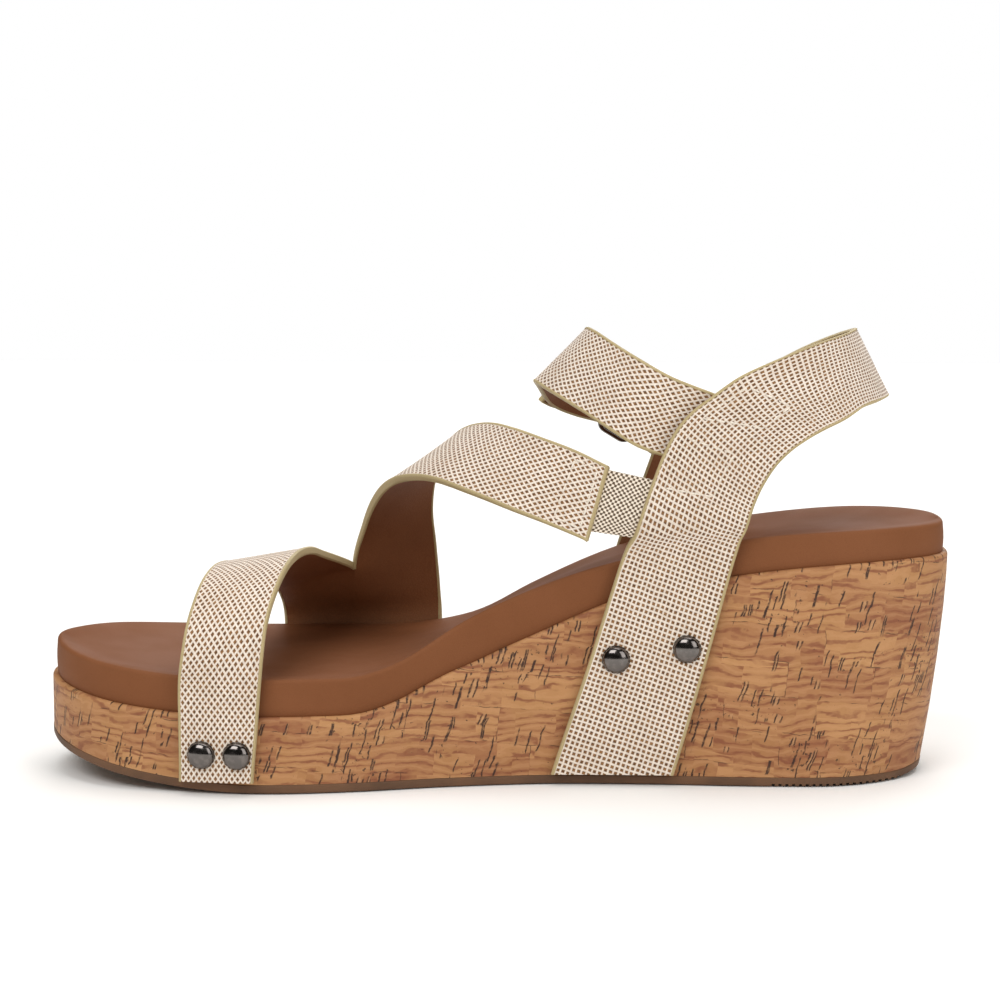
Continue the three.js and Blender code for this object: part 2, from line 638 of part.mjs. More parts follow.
function makeGore() {
  const { centre: start, across } = INSTEP_ROUTE[0];
  const end = quarterSurface(...GORE_END);
  const direction = end.clone().sub(start).normalize();
  const from = start.clone().addScaledVector(direction, GAP + 0.1);
  const centres = [from, from.clone().lerp(end, 0.5), end];
  const route = centres.map((centre) => ({ centre, across, width: GORE_W }));
  const low = (STRAP_T - GORE_T) / 2;
  const gore = ribbon(ribbonSurface(route), low, low + GORE_T, { steps: 8, flip: -1 });
  addNode(upper, 'elastic_gore', gore.subtract(roomOf(QUARTER_ROUTE, 0.05, 0.35)), '#b9ad9c', 0.9);
}

// ---- Closure --------------------------------------------------------------------------------

// Frame of the ring: front bar centre, way to the rear bar, way along the bars, way out.
function ringFrame() {
  const tip = ankleSurface(1, 0);
  const along = tip.clone().sub(ankleSurface(0.995, 0)).normalize();
  const bars = ankleSurface(1, 0.5).sub(ankleSurface(1, -0.5)).normalize();
  const out = bars.clone().cross(along).normalize();
  along.copy(out).cross(bars).normalize();
  const front = tip.clone().addScaledVector(out, STRAP_T + GAP + RING_WIRE / 2);
  return { front, rear: front.clone().addScaledVector(along, RING_PITCH), along, bars, out };
}

const ring = ringFrame();
// Inner radius of the cloth that goes round one of the ring's bars
const BIGHT_R = RING_WIRE / 2 + GAP + 0.1;

function makeAnkleStrap() {
  const room = roomOf(QUARTER_ROUTE, 0.15, 0.55);
  const reach = BIGHT_R + TAB_T + GAP;
  const half = ANKLE_STRAP_W;
  const lastS = 0.985;
  const start = ring.front.clone().addScaledVector(ring.bars, -half);
  const profile = [[0, 0], [reach, 0], [reach, 2 * half], [0, 2 * half]];
  const turn = latheAlong(profile, 16, start, ring.bars);
  addStrap(upper, 'ankle_strap', ankleSurface, { s1: lastS, steps: 26 },
    (solid) => solid.subtract(room).subtract(turn));
}

// A flat loop of rounded bar around a window.
function makeRing() {
  const halfLong = TAB_W / 2 + RING_CLEAR + RING_WIRE;
  const halfShort = RING_PITCH / 2 + RING_WIRE / 2;
  const bevel = 0.5;
  const rounded = (target, a, b, r) => {
    target.moveTo(-a + r, -b);
    target.lineTo(a - r, -b);
    target.absarc(a - r, -b + r, r, -Math.PI / 2, 0, false);
    target.absarc(a - r, b - r, r, 0, Math.PI / 2, false);
    target.absarc(-a + r, b - r, r, Math.PI / 2, Math.PI, false);
    target.absarc(-a + r, -b + r, r, Math.PI, 1.5 * Math.PI, false);
    return target;
  };
  const corner = 2.2;
  const shape = rounded(new THREE.Shape(), halfLong - bevel, halfShort - bevel, corner);
  const window = [halfLong - RING_WIRE + bevel, halfShort - RING_WIRE + bevel];
  shape.holes.push(rounded(new THREE.Path(), ...window, corner - 0.8));
  const geometry = new THREE.ExtrudeGeometry(shape, {
    depth: RING_WIRE - 2 * bevel,
    bevelThickness: bevel,
    bevelSize: bevel,
    bevelSegments: 1,
    curveSegments: 3,
  });
  geometry.translate(0, 0, -RING_WIRE / 2 + bevel);
  const middle = ring.front.clone().lerp(ring.rear, 0.5);
  const placed = new THREE.Matrix4().makeBasis(ring.bars, ring.along, ring.out).setPosition(middle);
  geometry.applyMatrix4(placed);
  addNode(closure, 'closure_ring', toManifold(geometry), '#4a4644', 0.3, 1);
}

// Solid strip through sections { spot, out, wide, width }; spot lies on its inner face.
function strip(sections, low, high) {
  const vertices = sections.flatMap(({ spot, out, wide, width }) =>
    [[-0.5, low], [0.5, low], [0.5, high], [-0.5, high]].map(([t, offset]) => spot.clone()
      .addScaledVector(wide, t * width).addScaledVector(out, offset).toArray()));
  const last = sections.length - 1;
  const faces = [[0, 1, 2], [0, 2, 3]];
  for (let i = 0; i < last; i++) {
    for (let j = 0; j < 4; j++) {
      const [a, b] = [4 * i + j, 4 * i + ((j + 1) % 4)];
      faces.push([a, a + 4, b + 4], [a, b + 4, b]);
    }
  }
  const end = 4 * last;
  faces.push([end, end + 2, end + 1], [end, end + 3, end + 2]);
  return solidFrom(vertices, faces);
}

// Sections round a bar: the angle is 0 on the inner side and grows towards `ahead`.
function roundBar(centre, ahead, fromAngle, toAngle, count, width) {
  return Array.from({ length: count + 1 }, (_, i) => {
    const angle = lerp(fromAngle, toAngle, i / count);
    const out = ring.out.clone().multiplyScalar(-Math.cos(angle)).addScaledVector(ahead, Math.sin(angle));
    return { spot: centre.clone().addScaledVector(out, BIGHT_R), out, wide: ring.bars, width };
  });
}

// Length of the ankle strap if its pace over its last tenth lasted all the way
const ANKLE_TAIL = 10 * ankleSurface(1, 0).distanceTo(ankleSurface(0.9, 0));

// A section over the ankle strap at a distance ahead of the ring, dropped a little to its tip.
function overStrap(distance, width, drop = 0) {
  const s = 1 - distance / ANKLE_TAIL;
  const spot = ankleSurface(s, 0);
  const along = ankleSurface(s, 0).sub(ankleSurface(s - 1e-3, 0));
  const wide = ankleSurface(s, 0.5).sub(ankleSurface(s, -0.5)).normalize();
  const out = wide.clone().cross(along).normalize();
  return { spot: spot.addScaledVector(wide, -drop), out, wide, width };
}

// Height of the tab's inner face over the inner face of the ankle strap
const TAB_LIFT = STRAP_T + GAP + RING_WIRE / 2 + BIGHT_R;
const dropAt = (distance) => TAB_DROP * smooth(2, TAB_LENGTH, distance);

function makeTab() {
  const bight = roundBar(ring.front, ring.along, 0, Math.PI, 10, TAB_W);
  const count = 6;
  const run = Array.from({ length: count }, (_, i) => {
    const distance = (TAB_LENGTH * (i + 1)) / count;
    const section = overStrap(distance, TAB_W, dropAt(distance));
    section.spot.addScaledVector(section.out, TAB_LIFT);
    return section;
  });
  addNode(closure, 'closure_tab', strip([...bight, ...run].reverse(), 0, TAB_T), FABRIC, 0.85);
}

function makePatches() {
  const count = 5;
  const far = TAB_LENGTH - 1.5;
  const stretch = (width, drop) => Array.from({ length: count + 1 }, (_, i) => {
    const distance = far - (PATCH_LENGTH * i) / count;
    return overStrap(distance, width, drop ? dropAt(distance) : 0);
  });
  const hookHigh = TAB_LIFT - GAP;
  const loopLow = STRAP_T + GAP;
  const hook = strip(stretch(TAB_W - 1, true), hookHigh - PATCH_T, hookHigh);
  const loop = strip(stretch(TAB_W - 3, false), loopLow, loopLow + PATCH_T);
  addNode(closure, 'hook_patch', hook, '#a5622c', 0.95);
  addNode(closure, 'loop_patch', loop, '#8b5a33', 0.95);
}

// The keeper is sewn to the outer quarter at this share of the loop. Its run is measured across the
// quarter from the middle line: forwards to where it leaves the quarter, and back to its end.
const KEEPER_S = 0.79;
const KEEPER_FORWARD = 14.5;
const KEEPER_BACK = 1.5;

function makeKeeper() {
  const bight = roundBar(ring.rear, ring.along.clone().negate(), -0.5, Math.PI + 0.75, 12, KEEPER_W);
  const run = [];
  const e = 1e-3;
  for (let i = 0; i <= 5; i++) {
    const t = lerp(-KEEPER_FORWARD, KEEPER_BACK, i / 5) / QUARTER_W;
    const spot = quarterSurface(KEEPER_S, t);
    const along = quarterSurface(KEEPER_S + e, t).sub(quarterSurface(KEEPER_S - e, t));
    const wide = quarterSurface(KEEPER_S, t + e).sub(quarterSurface(KEEPER_S, t - e));
    const out = wide.clone().cross(along).normalize();
    run.push({ spot: spot.addScaledVector(out, STRAP_T + 3 * GAP), out, wide: ring.bars, width: KEEPER_W });
  }
  addNode(closure, 'ring_keeper', strip([...bight, ...run], 0, KEEPER_T), FABRIC, 0.85);
}

// ---- Assembly -------------------------------------------------------------------------------

const holes = makeRivetHoles();
makeOutsole();
makeWedgeCore(holes);
makeCorkWrap(holes);
makeInsoleBoard();
makeFootbed();
makeVamp(holes);
makeQuarters(holes);
makeGore();
makeAnkleStrap();
makeRing();
makeTab();
makePatches();
makeKeeper();
makeRivets();

const sandal = new THREE.Group();
sandal.add(sole, upper, closure, rivets);

export default sandal;
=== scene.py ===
# %% [markdown]
# # A wedge sandal with a cork heel
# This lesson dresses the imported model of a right-foot sandal: a cork-wrapped wedge, a soft footbed,
# woven straps that are held by gunmetal rivets, and a closure that goes through a ring. The packed
# model says where everything is. The lesson keeps its places and gives each piece its real surface.

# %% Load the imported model
import json
import math

import bpy
import numpy as np
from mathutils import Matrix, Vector

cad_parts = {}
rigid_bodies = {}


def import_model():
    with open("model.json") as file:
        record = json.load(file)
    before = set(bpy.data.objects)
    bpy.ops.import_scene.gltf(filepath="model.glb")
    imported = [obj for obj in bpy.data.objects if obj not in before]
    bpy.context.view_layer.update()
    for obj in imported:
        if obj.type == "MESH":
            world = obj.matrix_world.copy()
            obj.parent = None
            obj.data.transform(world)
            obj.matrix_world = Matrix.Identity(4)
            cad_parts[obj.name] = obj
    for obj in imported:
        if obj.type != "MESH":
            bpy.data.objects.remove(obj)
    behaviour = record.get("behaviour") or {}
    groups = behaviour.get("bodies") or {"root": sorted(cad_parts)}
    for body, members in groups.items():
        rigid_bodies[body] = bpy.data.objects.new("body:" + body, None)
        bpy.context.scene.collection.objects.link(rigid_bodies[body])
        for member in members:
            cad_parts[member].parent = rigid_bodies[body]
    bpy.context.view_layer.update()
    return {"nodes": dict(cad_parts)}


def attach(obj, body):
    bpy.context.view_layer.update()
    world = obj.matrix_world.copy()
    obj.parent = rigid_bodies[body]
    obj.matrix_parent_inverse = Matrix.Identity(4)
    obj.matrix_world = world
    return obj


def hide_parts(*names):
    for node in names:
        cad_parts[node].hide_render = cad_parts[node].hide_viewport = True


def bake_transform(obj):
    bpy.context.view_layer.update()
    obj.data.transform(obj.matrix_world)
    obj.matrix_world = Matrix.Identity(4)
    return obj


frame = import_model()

MM = 0.001
scene = bpy.context.scene

# %% [markdown]
# ## The camera
# The sandal is looked at from its inner side, a little above the ground, from about a stride away.
# A long lens keeps the toe and the heel in proportion. It is placed on a circle round a point at
# the middle of the shoe, because that is how a turntable is set up.

# %% Camera
AZIMUTH = math.radians(2.0)
ELEVATION = math.radians(7.5)
DISTANCE = 0.8
TARGET = Vector((0.0, 0.0, 0.072))
LENS = 105.4

toward = Vector((
    math.sin(AZIMUTH) * math.cos(ELEVATION),
    -math.cos(AZIMUTH) * math.cos(ELEVATION),
    math.sin(ELEVATION),
))
bpy.ops.object.camera_add(location=TARGET + DISTANCE * toward)
camera = bpy.context.object
camera.rotation_euler = (-toward).to_track_quat("-Z", "Y").to_euler()
camera.data.lens = LENS
camera.data.sensor_width = 36.0
scene.camera = camera
print("camera at", tuple(round(x, 3) for x in camera.location))

# %% [markdown]
# ## Light and floor
# A product studio: a big soft box high on the left in front, a second on the right, one behind for
# the rims, and a pale floor. The world is a soft warm fill. The view transform is set to Standard so
# that a colour in the materials comes out as it was picked. Polished metal sees a dark room with
# bright boxes.

# %% Studio
def soft_box(name, place, aim, size, power):
    bpy.ops.object.light_add(type="AREA", location=place)
    lamp = bpy.context.object
    lamp.name = name
    lamp.data.shape = "RECTANGLE"
    lamp.data.size = size[0]
    lamp.data.size_y = size[1]
    lamp.data.energy = power
    aim_way = Vector(aim) - Vector(place)
    lamp.rotation_euler = aim_way.to_track_quat("-Z", "Y").to_euler()
    return lamp


CENTRE = (0.0, 0.0, 0.06)
soft_box("key_box", (-0.7, -1.3, 1.5), CENTRE, (1.3, 0.9), 19.0)
soft_box("fill_box", (1.2, -1.2, 0.8), CENTRE, (1.0, 1.2), 9.0)
soft_box("top_box", (0.1, 0.2, 1.9), CENTRE, (1.8, 1.4), 20.0)
soft_box("rim_box", (0.3, 1.6, 0.9), CENTRE, (1.6, 0.9), 14.0)

world = bpy.data.worlds.new("studio_air")
world.use_nodes = True
scene.world = world
scene.view_settings.view_transform = "Standard"
scene.view_settings.look = "None"

# %% [markdown]
# ## Small helpers for nodes
# Every material is a small network. One function adds a node, sets what it is told and links what it
# is given, so that a material reads from top to bottom. Colours are written as the hex values that a
# paint chart would give, and one function turns them to the linear light that the renderer counts in.

# %% Node helpers
def colour(code):
    parts = [int(code[i:i + 2], 16) / 255 for i in (1, 3, 5)]
    return tuple(p / 12.92 if p <= 0.04045 else ((p + 0.055) / 1.055) ** 2.4 for p in parts) + (1.0,)


def add(tree, kind, sockets=None, **settings):
    made = tree.nodes.new("ShaderNode" + kind)
    for key, value in settings.items():
        setattr(made, key, value)
    for key, value in (sockets or {}).items():
        if isinstance(value, bpy.types.NodeSocket):
            tree.links.new(value, made.inputs[key])
        else:
            made.inputs[key].default_value = value
    return made


def new_material(name):
    material = bpy.data.materials.new(name)
    material.use_nodes = True
    tree = material.node_tree
    tree.nodes.clear()
    shader = add(tree, "BsdfPrincipled")
    add(tree, "OutputMaterial", {"Surface": shader.outputs["BSDF"]})
    return material, tree, shader


# %% World
air = world.node_tree
air.nodes.clear()
ray = add(air, "LightPath")
seen = add(air, "Background", {"Color": (1, 1, 1, 1), "Strength": 1.0})
lit = add(air, "Background", {"Color": colour("#f2ede4"), "Strength": 0.4})
dim = add(air, "Background", {"Color": colour("#f2ede4"), "Strength": 0.06})
room = add(air, "MixShader", {0: ray.outputs["Is Glossy Ray"], 1: lit.outputs[0], 2: dim.outputs[0]})
blend = add(air, "MixShader", {0: ray.outputs["Is Camera Ray"], 1: room.outputs[0], 2: seen.outputs[0]})
add(air, "OutputWorld", {"Surface": blend.outputs[0]})

# %% [markdown]
# ## The floor
# Matt white studio paper. It is one big sheet, so nothing shows its edge.

# %% Floor
FLOOR_SIZE = 2.6
bpy.ops.mesh.primitive_plane_add(size=FLOOR_SIZE, location=(0, 0, -0.0002))
floor = bpy.context.object
floor.name = "studio_floor"
paper, tree, shader = new_material("matt_white_paper")
shader.inputs["Base Color"].default_value = colour("#f7f7f6")
shader.inputs["Roughness"].default_value = 0.9
floor.data.materials.append(paper)

# %% [markdown]
# ## Shape functions
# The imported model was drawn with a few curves, in millimetres: the outline of the sole seen from
# above, the height of the footbed, and the routes of the straps. The same curves are written here, so
# that each new piece lies just where its plain stand-in was. They work on whole arrays of points.

# %% Curves
LENGTH, BALL_WIDTH, HEEL_WIDTH = 245.0, 91.0, 62.0
BALL_HEIGHT, HEEL_HEIGHT, TOE_SPRING, HEEL_LEAN, HEEL_CURVE = 30.0, 68.4, 9.0, 7.0, 1.5
OUTSOLE_T, FOOTBED_T, CORK_LIP = 2.4, 9.4, 1.4


def lerp(a, b, t):
    return a + (b - a) * t


def smooth(low, high, x):
    t = np.clip((np.asarray(x, float) - low) / (high - low), 0, 1)
    return t * t * (3 - 2 * t)


def curve1d(points, x):
    """A smooth curve through (x, value) points, flat at both ends."""
    px, pv = np.array(points, float).T
    x = np.clip(np.asarray(x, float), px[0], px[-1])
    slope = np.zeros(len(px))
    slope[1:-1] = (pv[2:] - pv[:-2]) / (px[2:] - px[:-2])
    i = np.clip(np.searchsorted(px, x, "right") - 1, 0, len(px) - 2)
    h = px[i + 1] - px[i]
    t = (x - px[i]) / h
    start = (2 * t**3 - 3 * t**2 + 1) * pv[i] + (t**3 - 2 * t**2 + t) * h * slope[i]
    end = (-2 * t**3 + 3 * t**2) * pv[i + 1] + (t**3 - t**2) * h * slope[i + 1]
    return start + end


def curve_through(points, closed=False, even=False):
    """A Catmull-Rom curve through points, for s from 0 to 1. Uneven spans are timed by their length."""
    p = np.array(points, float)
    n = len(p)
    if closed:
        p = np.vstack([p[-1], p, p[0], p[1]])
    else:
        p = np.vstack([2 * p[0] - p[1], p, 2 * p[-1] - p[-2]])
    spans = n if closed else n - 1

    def at(s):
        place = np.clip(np.asarray(s, float), 0, 1) * spans
        i = np.minimum(place.astype(int), spans - 1)
        t = (place - i)[..., None]
        p0, p1, p2, p3 = (p[i + k] for k in range(4))
        if even:
            m1, m2 = 0.5 * (p2 - p0), 0.5 * (p3 - p1)
        else:
            d0, d1, d2 = (
                np.maximum(np.linalg.norm(b - a, axis=-1), 1e-8)[..., None] ** 0.5
                for a, b in ((p0, p1), (p1, p2), (p2, p3))
            )
            m1 = ((p1 - p0) / d0 - (p2 - p0) / (d0 + d1) + (p2 - p1) / d1) * d1
            m2 = ((p2 - p1) / d1 - (p3 - p1) / (d1 + d2) + (p3 - p2) / d2) * d1
        c2, c3 = -3 * p1 + 3 * p2 - 2 * m1 - m2, 2 * p1 - 2 * p2 + m1 + m2
        return p1 + m1 * t + c2 * t**2 + c3 * t**3

    return at


def half_width(u):
    return lerp(BALL_WIDTH / 2, HEEL_WIDTH / 2, smooth(-0.15, 0.25, u))


# %% Outline of the sole
INNER_EDGE = [
    (-0.5, -0.1), (-0.476, -0.53), (-0.424, -0.81), (-0.343, -0.95), (-0.245, -1.0), (-0.155, -0.93),
    (-0.057, -0.82), (0.05, -0.81), (0.163, -0.93), (0.286, -1.03), (0.388, -0.98), (0.455, -0.74),
    (0.49, -0.4),
]
OUTER_EDGE = [
    (0.49, 0.22), (0.46, 0.6), (0.4, 0.9), (0.294, 1.02), (0.163, 1.06), (0.041, 1.01), (-0.082, 0.98),
    (-0.184, 1.0), (-0.286, 0.96), (-0.376, 0.82), (-0.447, 0.57), (-0.485, 0.24),
]
SPOTS = 800
edge_curve = curve_through(
    [(u * LENGTH, v * half_width(u)) for u, v in INNER_EDGE + OUTER_EDGE], closed=True)
dense = edge_curve(np.linspace(0, 1, 8001))
run = np.concatenate([[0], np.cumsum(np.linalg.norm(np.diff(dense, axis=0), axis=1))])
PERIMETER = run[-1]
outline = np.stack(
    [np.interp(np.arange(SPOTS) / SPOTS * PERIMETER, run, dense[:, k]) for k in (0, 1)], axis=1)
TOE_SPOT = int(outline[:, 0].argmin())
HEEL_SPOT = int(outline[:, 0].argmax())
INNER_SPAN = (HEEL_SPOT - TOE_SPOT) % SPOTS
print("sole outline: %.0f mm round" % PERIMETER)


def edge_spot(share, inner):
    """Place on the outline for a share from 0 at the toe to 1 at the heel, closer at both tips."""
    even = (1 - np.cos(np.pi * np.asarray(share, float))) / 2
    span = INNER_SPAN if inner else INNER_SPAN - SPOTS
    return TOE_SPOT + lerp(share, even, 0.35) * span


def edge_point(spot, inset):
    spot = np.asarray(spot, float)
    low = np.floor(spot).astype(int)
    t = (spot - low)[..., None]
    p = lerp(outline[low % SPOTS], outline[(low + 1) % SPOTS], t)
    along = outline[(low + 4) % SPOTS] - outline[(low - 3) % SPOTS]
    along /= np.linalg.norm(along, axis=-1)[..., None]
    return p + np.stack([-along[..., 1], along[..., 0]], -1) * np.asarray(inset, float)[..., None]


side_edges = {}
for side in (-1, 1):
    edge = outline[np.sign(outline[:, 1]) == side]
    side_edges[side] = edge[edge[:, 0].argsort()]


def side_y(x, side):
    inner, outer = side_edges[-1], side_edges[1]
    low = np.interp(x, inner[:, 0], inner[:, 1])
    high = np.interp(x, outer[:, 0], outer[:, 1])
    return np.where(np.asarray(side) < 0, low, high)


# %% Heights of the sole
RISE = [(-0.16, 0), (-0.08, 0.1), (0, 0.365), (0.08, 0.6), (0.16, 0.77), (0.25, 0.89), (0.36, 0.97), (0.5, 1)]
BREAK_SKEW = 0.24
SPRING_START = -0.245
BED_SPRING = 0.6
HEEL_BEVEL = 1.2
WAIST_EXTRA, HEEL_LESS = 2.4, 1.2
BED_ROOM = 1.03


def toe_lift(x):
    t = np.maximum(0, (SPRING_START - x / LENGTH) / (SPRING_START + 0.5))
    return TOE_SPRING * t * t


def footbed_top(x, y):
    skewed = x - BREAK_SKEW * y * smooth(-0.2, 0, x / LENGTH)
    rise = (HEEL_HEIGHT - BALL_HEIGHT) * curve1d(RISE, skewed / LENGTH)
    return BALL_HEIGHT + rise + BED_SPRING * toe_lift(x)


def cork_top(x, y):
    u = x / LENGTH
    waist = smooth(-0.09, -0.01, u) * (1 - smooth(0.03, 0.16, u))
    thick = FOOTBED_T + WAIST_EXTRA * waist - HEEL_LESS * smooth(0.15, 0.45, u)
    return footbed_top(x, y) - BED_ROOM * thick


def sole_bottom(x):
    return toe_lift(x) + HEEL_BEVEL * smooth(0.46, 0.5, x / LENGTH)


def outsole_top(x):
    return sole_bottom(x) + OUTSOLE_T


def lean_x(x, z):
    low = 1 - np.clip(z / (HEEL_HEIGHT - FOOTBED_T), 0, 1)
    return x - HEEL_LEAN * low ** HEEL_CURVE * smooth(0.3, 0.5, x / LENGTH)


# %% [markdown]
# ## Straps as ribbons
# A strap is a flat band that was bent over the foot. Its route is a row of stations: a place over the
# footbed, the way the width points and the width. The ribbon function gives a point of its inner face
# for s along it and t across it. Below the rim of the footbed the ribbon is pressed to the sole's side.

# %% Ribbon functions
WALL_GAP, GAP = 0.4, 0.3


def station(u, v, h, across, width):
    x, y = u * LENGTH, v * float(half_width(u))
    return (x, y, float(footbed_top(x, y)) + h), across, width


def leg(side, low, high, width, low_width=None):
    made = []
    for u, t in ((low, 0), (lerp(low, high, 0.5), 0.5), (high, 1)):
        x = u * LENGTH
        y = float(side_y(x, side)) + side * WALL_GAP
        z = lerp(float(outsole_top(x)) + 2 * GAP, float(footbed_top(x, y)), t)
        made.append(((x, y, z), (1, 0, 0), lerp(low_width or width, width, t)))
    return made


def ribbon_surface(route):
    centres = curve_through([p[0] for p in route])
    turned = curve_through([np.array(p[1]) / np.linalg.norm(p[1]) for p in route], even=True)
    widths = [(i, p[2]) for i, p in enumerate(route)]

    def surface(s, t):
        s, t = np.broadcast_arrays(np.asarray(s, float), np.asarray(t, float))
        across = turned(s)
        across = across / np.linalg.norm(across, axis=-1)[..., None]
        width = curve1d(widths, s * (len(route) - 1))
        spot = centres(s) + across * (t * width)[..., None]
        x, y, z = spot[..., 0], spot[..., 1], spot[..., 2]
        side = np.where(y < 0, -1, 1)
        rim = footbed_top(x, y)
        hold = 1 - smooth(0, 10, z - rim + 1)
        y = lerp(y, side_y(x, side) + side * WALL_GAP, hold)
        return np.stack([x, y, z], -1)

    return surface


def off_surface(surface, s, t, lift):
    """Points that stand off a ribbon's inner face by lift."""
    s, t, lift = np.broadcast_arrays(*(np.asarray(a, float) for a in (s, t, lift)))
    e = 1e-3
    along = surface(np.minimum(s + e, 1), t) - surface(np.maximum(s - e, 0), t)
    wide = surface(s, t + e) - surface(s, t - e)
    normal = np.cross(wide, along)
    normal /= np.linalg.norm(normal, axis=-1)[..., None]
    return surface(s, t) + normal * lift[..., None]


# %% Strap routes
TOE_STRAP_W, INSTEP_STRAP_W, VAMP_BASE_W = 21.0, 21.0, 24.0
QUARTER_W, HEEL_STRAP_W, ANKLE_STRAP_W, TAB_W, GORE_W = 29.0, 20.0, 20.0, 18.0, 18.0
TOE_FOOT_W, QUARTER_FOOT_W = TOE_STRAP_W - 2, QUARTER_W + 3
TOE_LEG_U = -0.218
SPLIT_X = TOE_LEG_U * LENGTH + TOE_STRAP_W / 2
VAMP_LEG_U = (SPLIT_X + VAMP_BASE_W / 2) / LENGTH

TOE_ROUTE = [
    *leg(-1, -0.296, -0.291, TOE_STRAP_W, TOE_FOOT_W),
    station(-0.286, -0.95, 12, (1, 0.05, 0.08), TOE_STRAP_W),
    station(-0.278, -0.79, 20.3, (1, 0.06, 0.08), TOE_STRAP_W),
    station(-0.270, -0.56, 25, (1, 0.12, 0.11), TOE_STRAP_W + 0.5),
    station(-0.261, -0.23, 26, (0.95, 0.2, 0.13), TOE_STRAP_W + 1),
    station(-0.249, 0.22, 22.6, (0.95, -0.12, 0.22), TOE_STRAP_W + 1),
    station(-0.236, 0.54, 17.4, (0.93, -0.25, 0.25), TOE_STRAP_W),
    station(-0.224, 0.78, 12, (0.96, -0.15, 0.15), TOE_STRAP_W),
    *leg(1, TOE_LEG_U, TOE_LEG_U, TOE_STRAP_W)[::-1],
]
INSTEP_ROUTE = [
    station(0.110, -0.92, 17, (0.28, 0.18, 0.94), INSTEP_STRAP_W - 1),
    station(0.072, -0.79, 24, (0.36, 0.27, 0.9), INSTEP_STRAP_W - 0.5),
    station(0.035, -0.63, 30.8, (0.38, 0.38, 0.85), INSTEP_STRAP_W),
    station(-0.001, -0.43, 38, (0.46, 0.45, 0.76), INSTEP_STRAP_W + 0.5),
    station(-0.039, -0.16, 45.5, (0.64, 0.4, 0.65), INSTEP_STRAP_W + 0.5),
    station(-0.072, 0.13, 48.6, (0.74, 0.36, 0.57), INSTEP_STRAP_W),
    station(-0.095, 0.37, 46, (0.76, 0.47, 0.42), INSTEP_STRAP_W),
    station(-0.112, 0.56, 39.8, (0.77, 0.56, 0.26), INSTEP_STRAP_W),
    station(-0.121, 0.68, 32, (0.84, 0.45, 0.14), INSTEP_STRAP_W),
    station(VAMP_LEG_U + 0.002, 0.78, 23, (0.94, 0.28, 0.05), lerp(INSTEP_STRAP_W, VAMP_BASE_W, 0.4)),
    station(VAMP_LEG_U + 0.001, 0.88, 13, (0.97, 0.18, 0), lerp(INSTEP_STRAP_W, VAMP_BASE_W, 0.8)),
    *leg(1, VAMP_LEG_U, VAMP_LEG_U, VAMP_BASE_W)[::-1],
]
QUARTER_SIDE = [
    (0.210, 1.07, 6, (1, 0, -0.03), QUARTER_W - 1),
    (0.220, 1.06, 13, (0.98, 0, -0.17), QUARTER_W - 2),
    (0.231, 1.05, 19.4, (0.96, 0, -0.27), QUARTER_W - 2),
    (0.246, 1.04, 25.3, (0.95, 0, -0.32), QUARTER_W - 1.5),
    (0.264, 1.02, 29.3, (0.94, 0, -0.34), QUARTER_W - 1),
    (0.283, 1, 32, (0.92, 0, -0.39), QUARTER_W - 1.5),
    (0.306, 0.96, 35, (0.86, 0.02, -0.5), QUARTER_W - 2.5),
    (0.337, 0.88, 37.8, (0.75, 0.03, -0.66), lerp(QUARTER_W, HEEL_STRAP_W, 0.6)),
    (0.364, 0.73, 40.2, (0.62, 0.03, -0.78), lerp(QUARTER_W, HEEL_STRAP_W, 0.9)),
    (0.391, 0.44, 41.4, (0.5, 0, -0.87), HEEL_STRAP_W),
]


OUTER_DROP = 6.0


def quarter_side(side):
    made = []
    for u, v, h, (a, b, c), w in QUARTER_SIDE:
        drop = OUTER_DROP * float(smooth(0.22, 0.29, u) * (1 - smooth(0.32, 0.43, u))) if side > 0 else 0.0
        made.append(station(u, side * v, h - drop, (a, -side * b, c), w))
    return made


QUARTER_ROUTE = [
    *leg(-1, 0.126, 0.199, QUARTER_W, QUARTER_FOOT_W),
    *quarter_side(-1),
    station(0.404, 0, 41.6, (0.45, 0, -0.89), HEEL_STRAP_W),
    *quarter_side(1)[::-1],
    *leg(1, 0.126, 0.199, QUARTER_W, QUARTER_FOOT_W)[::-1],
]
ANKLE_ROUTE = [
    station(0.225, -0.98, 30, (0.55, 0.1, 0.83), ANKLE_STRAP_W),
    station(0.170, -0.93, 37.5, (0.45, 0.14, 0.88), ANKLE_STRAP_W),
    station(0.143, -0.78, 42.6, (0.4, 0.22, 0.89), ANKLE_STRAP_W),
    station(0.112, -0.52, 49.4, (0.42, 0.26, 0.87), ANKLE_STRAP_W),
    station(0.086, -0.26, 55.5, (0.55, 0.17, 0.82), ANKLE_STRAP_W),
    station(0.072, 0.05, 58.4, (0.7, 0.02, 0.71), ANKLE_STRAP_W),
    station(0.075, 0.34, 56.2, (0.7, -0.02, 0.71), ANKLE_STRAP_W),
    station(0.084, 0.64, 51.9, (0.64, -0.05, 0.77), ANKLE_STRAP_W),
    station(0.105, 0.84, 47.2, (0.57, -0.03, 0.82), lerp(ANKLE_STRAP_W, TAB_W, 0.6)),
    station(0.135, 0.94, 42.2, (0.54, 0, 0.84), TAB_W),
]
toe_arm = ribbon_surface(TOE_ROUTE)
instep_arm = ribbon_surface(INSTEP_ROUTE)
quarter_surface = ribbon_surface(QUARTER_ROUTE)
ankle_surface = ribbon_surface(ANKLE_ROUTE)


# %% The notch of the vamp
# Below the notch the two arms are one panel: their edges are drawn to one line at SPLIT_X, whose Y is
# read between the two edges at the same height. A little above it each arm takes its own line again.
NOTCH_Z = BALL_HEIGHT + 17.5
NOTCH_EASE = 0.12


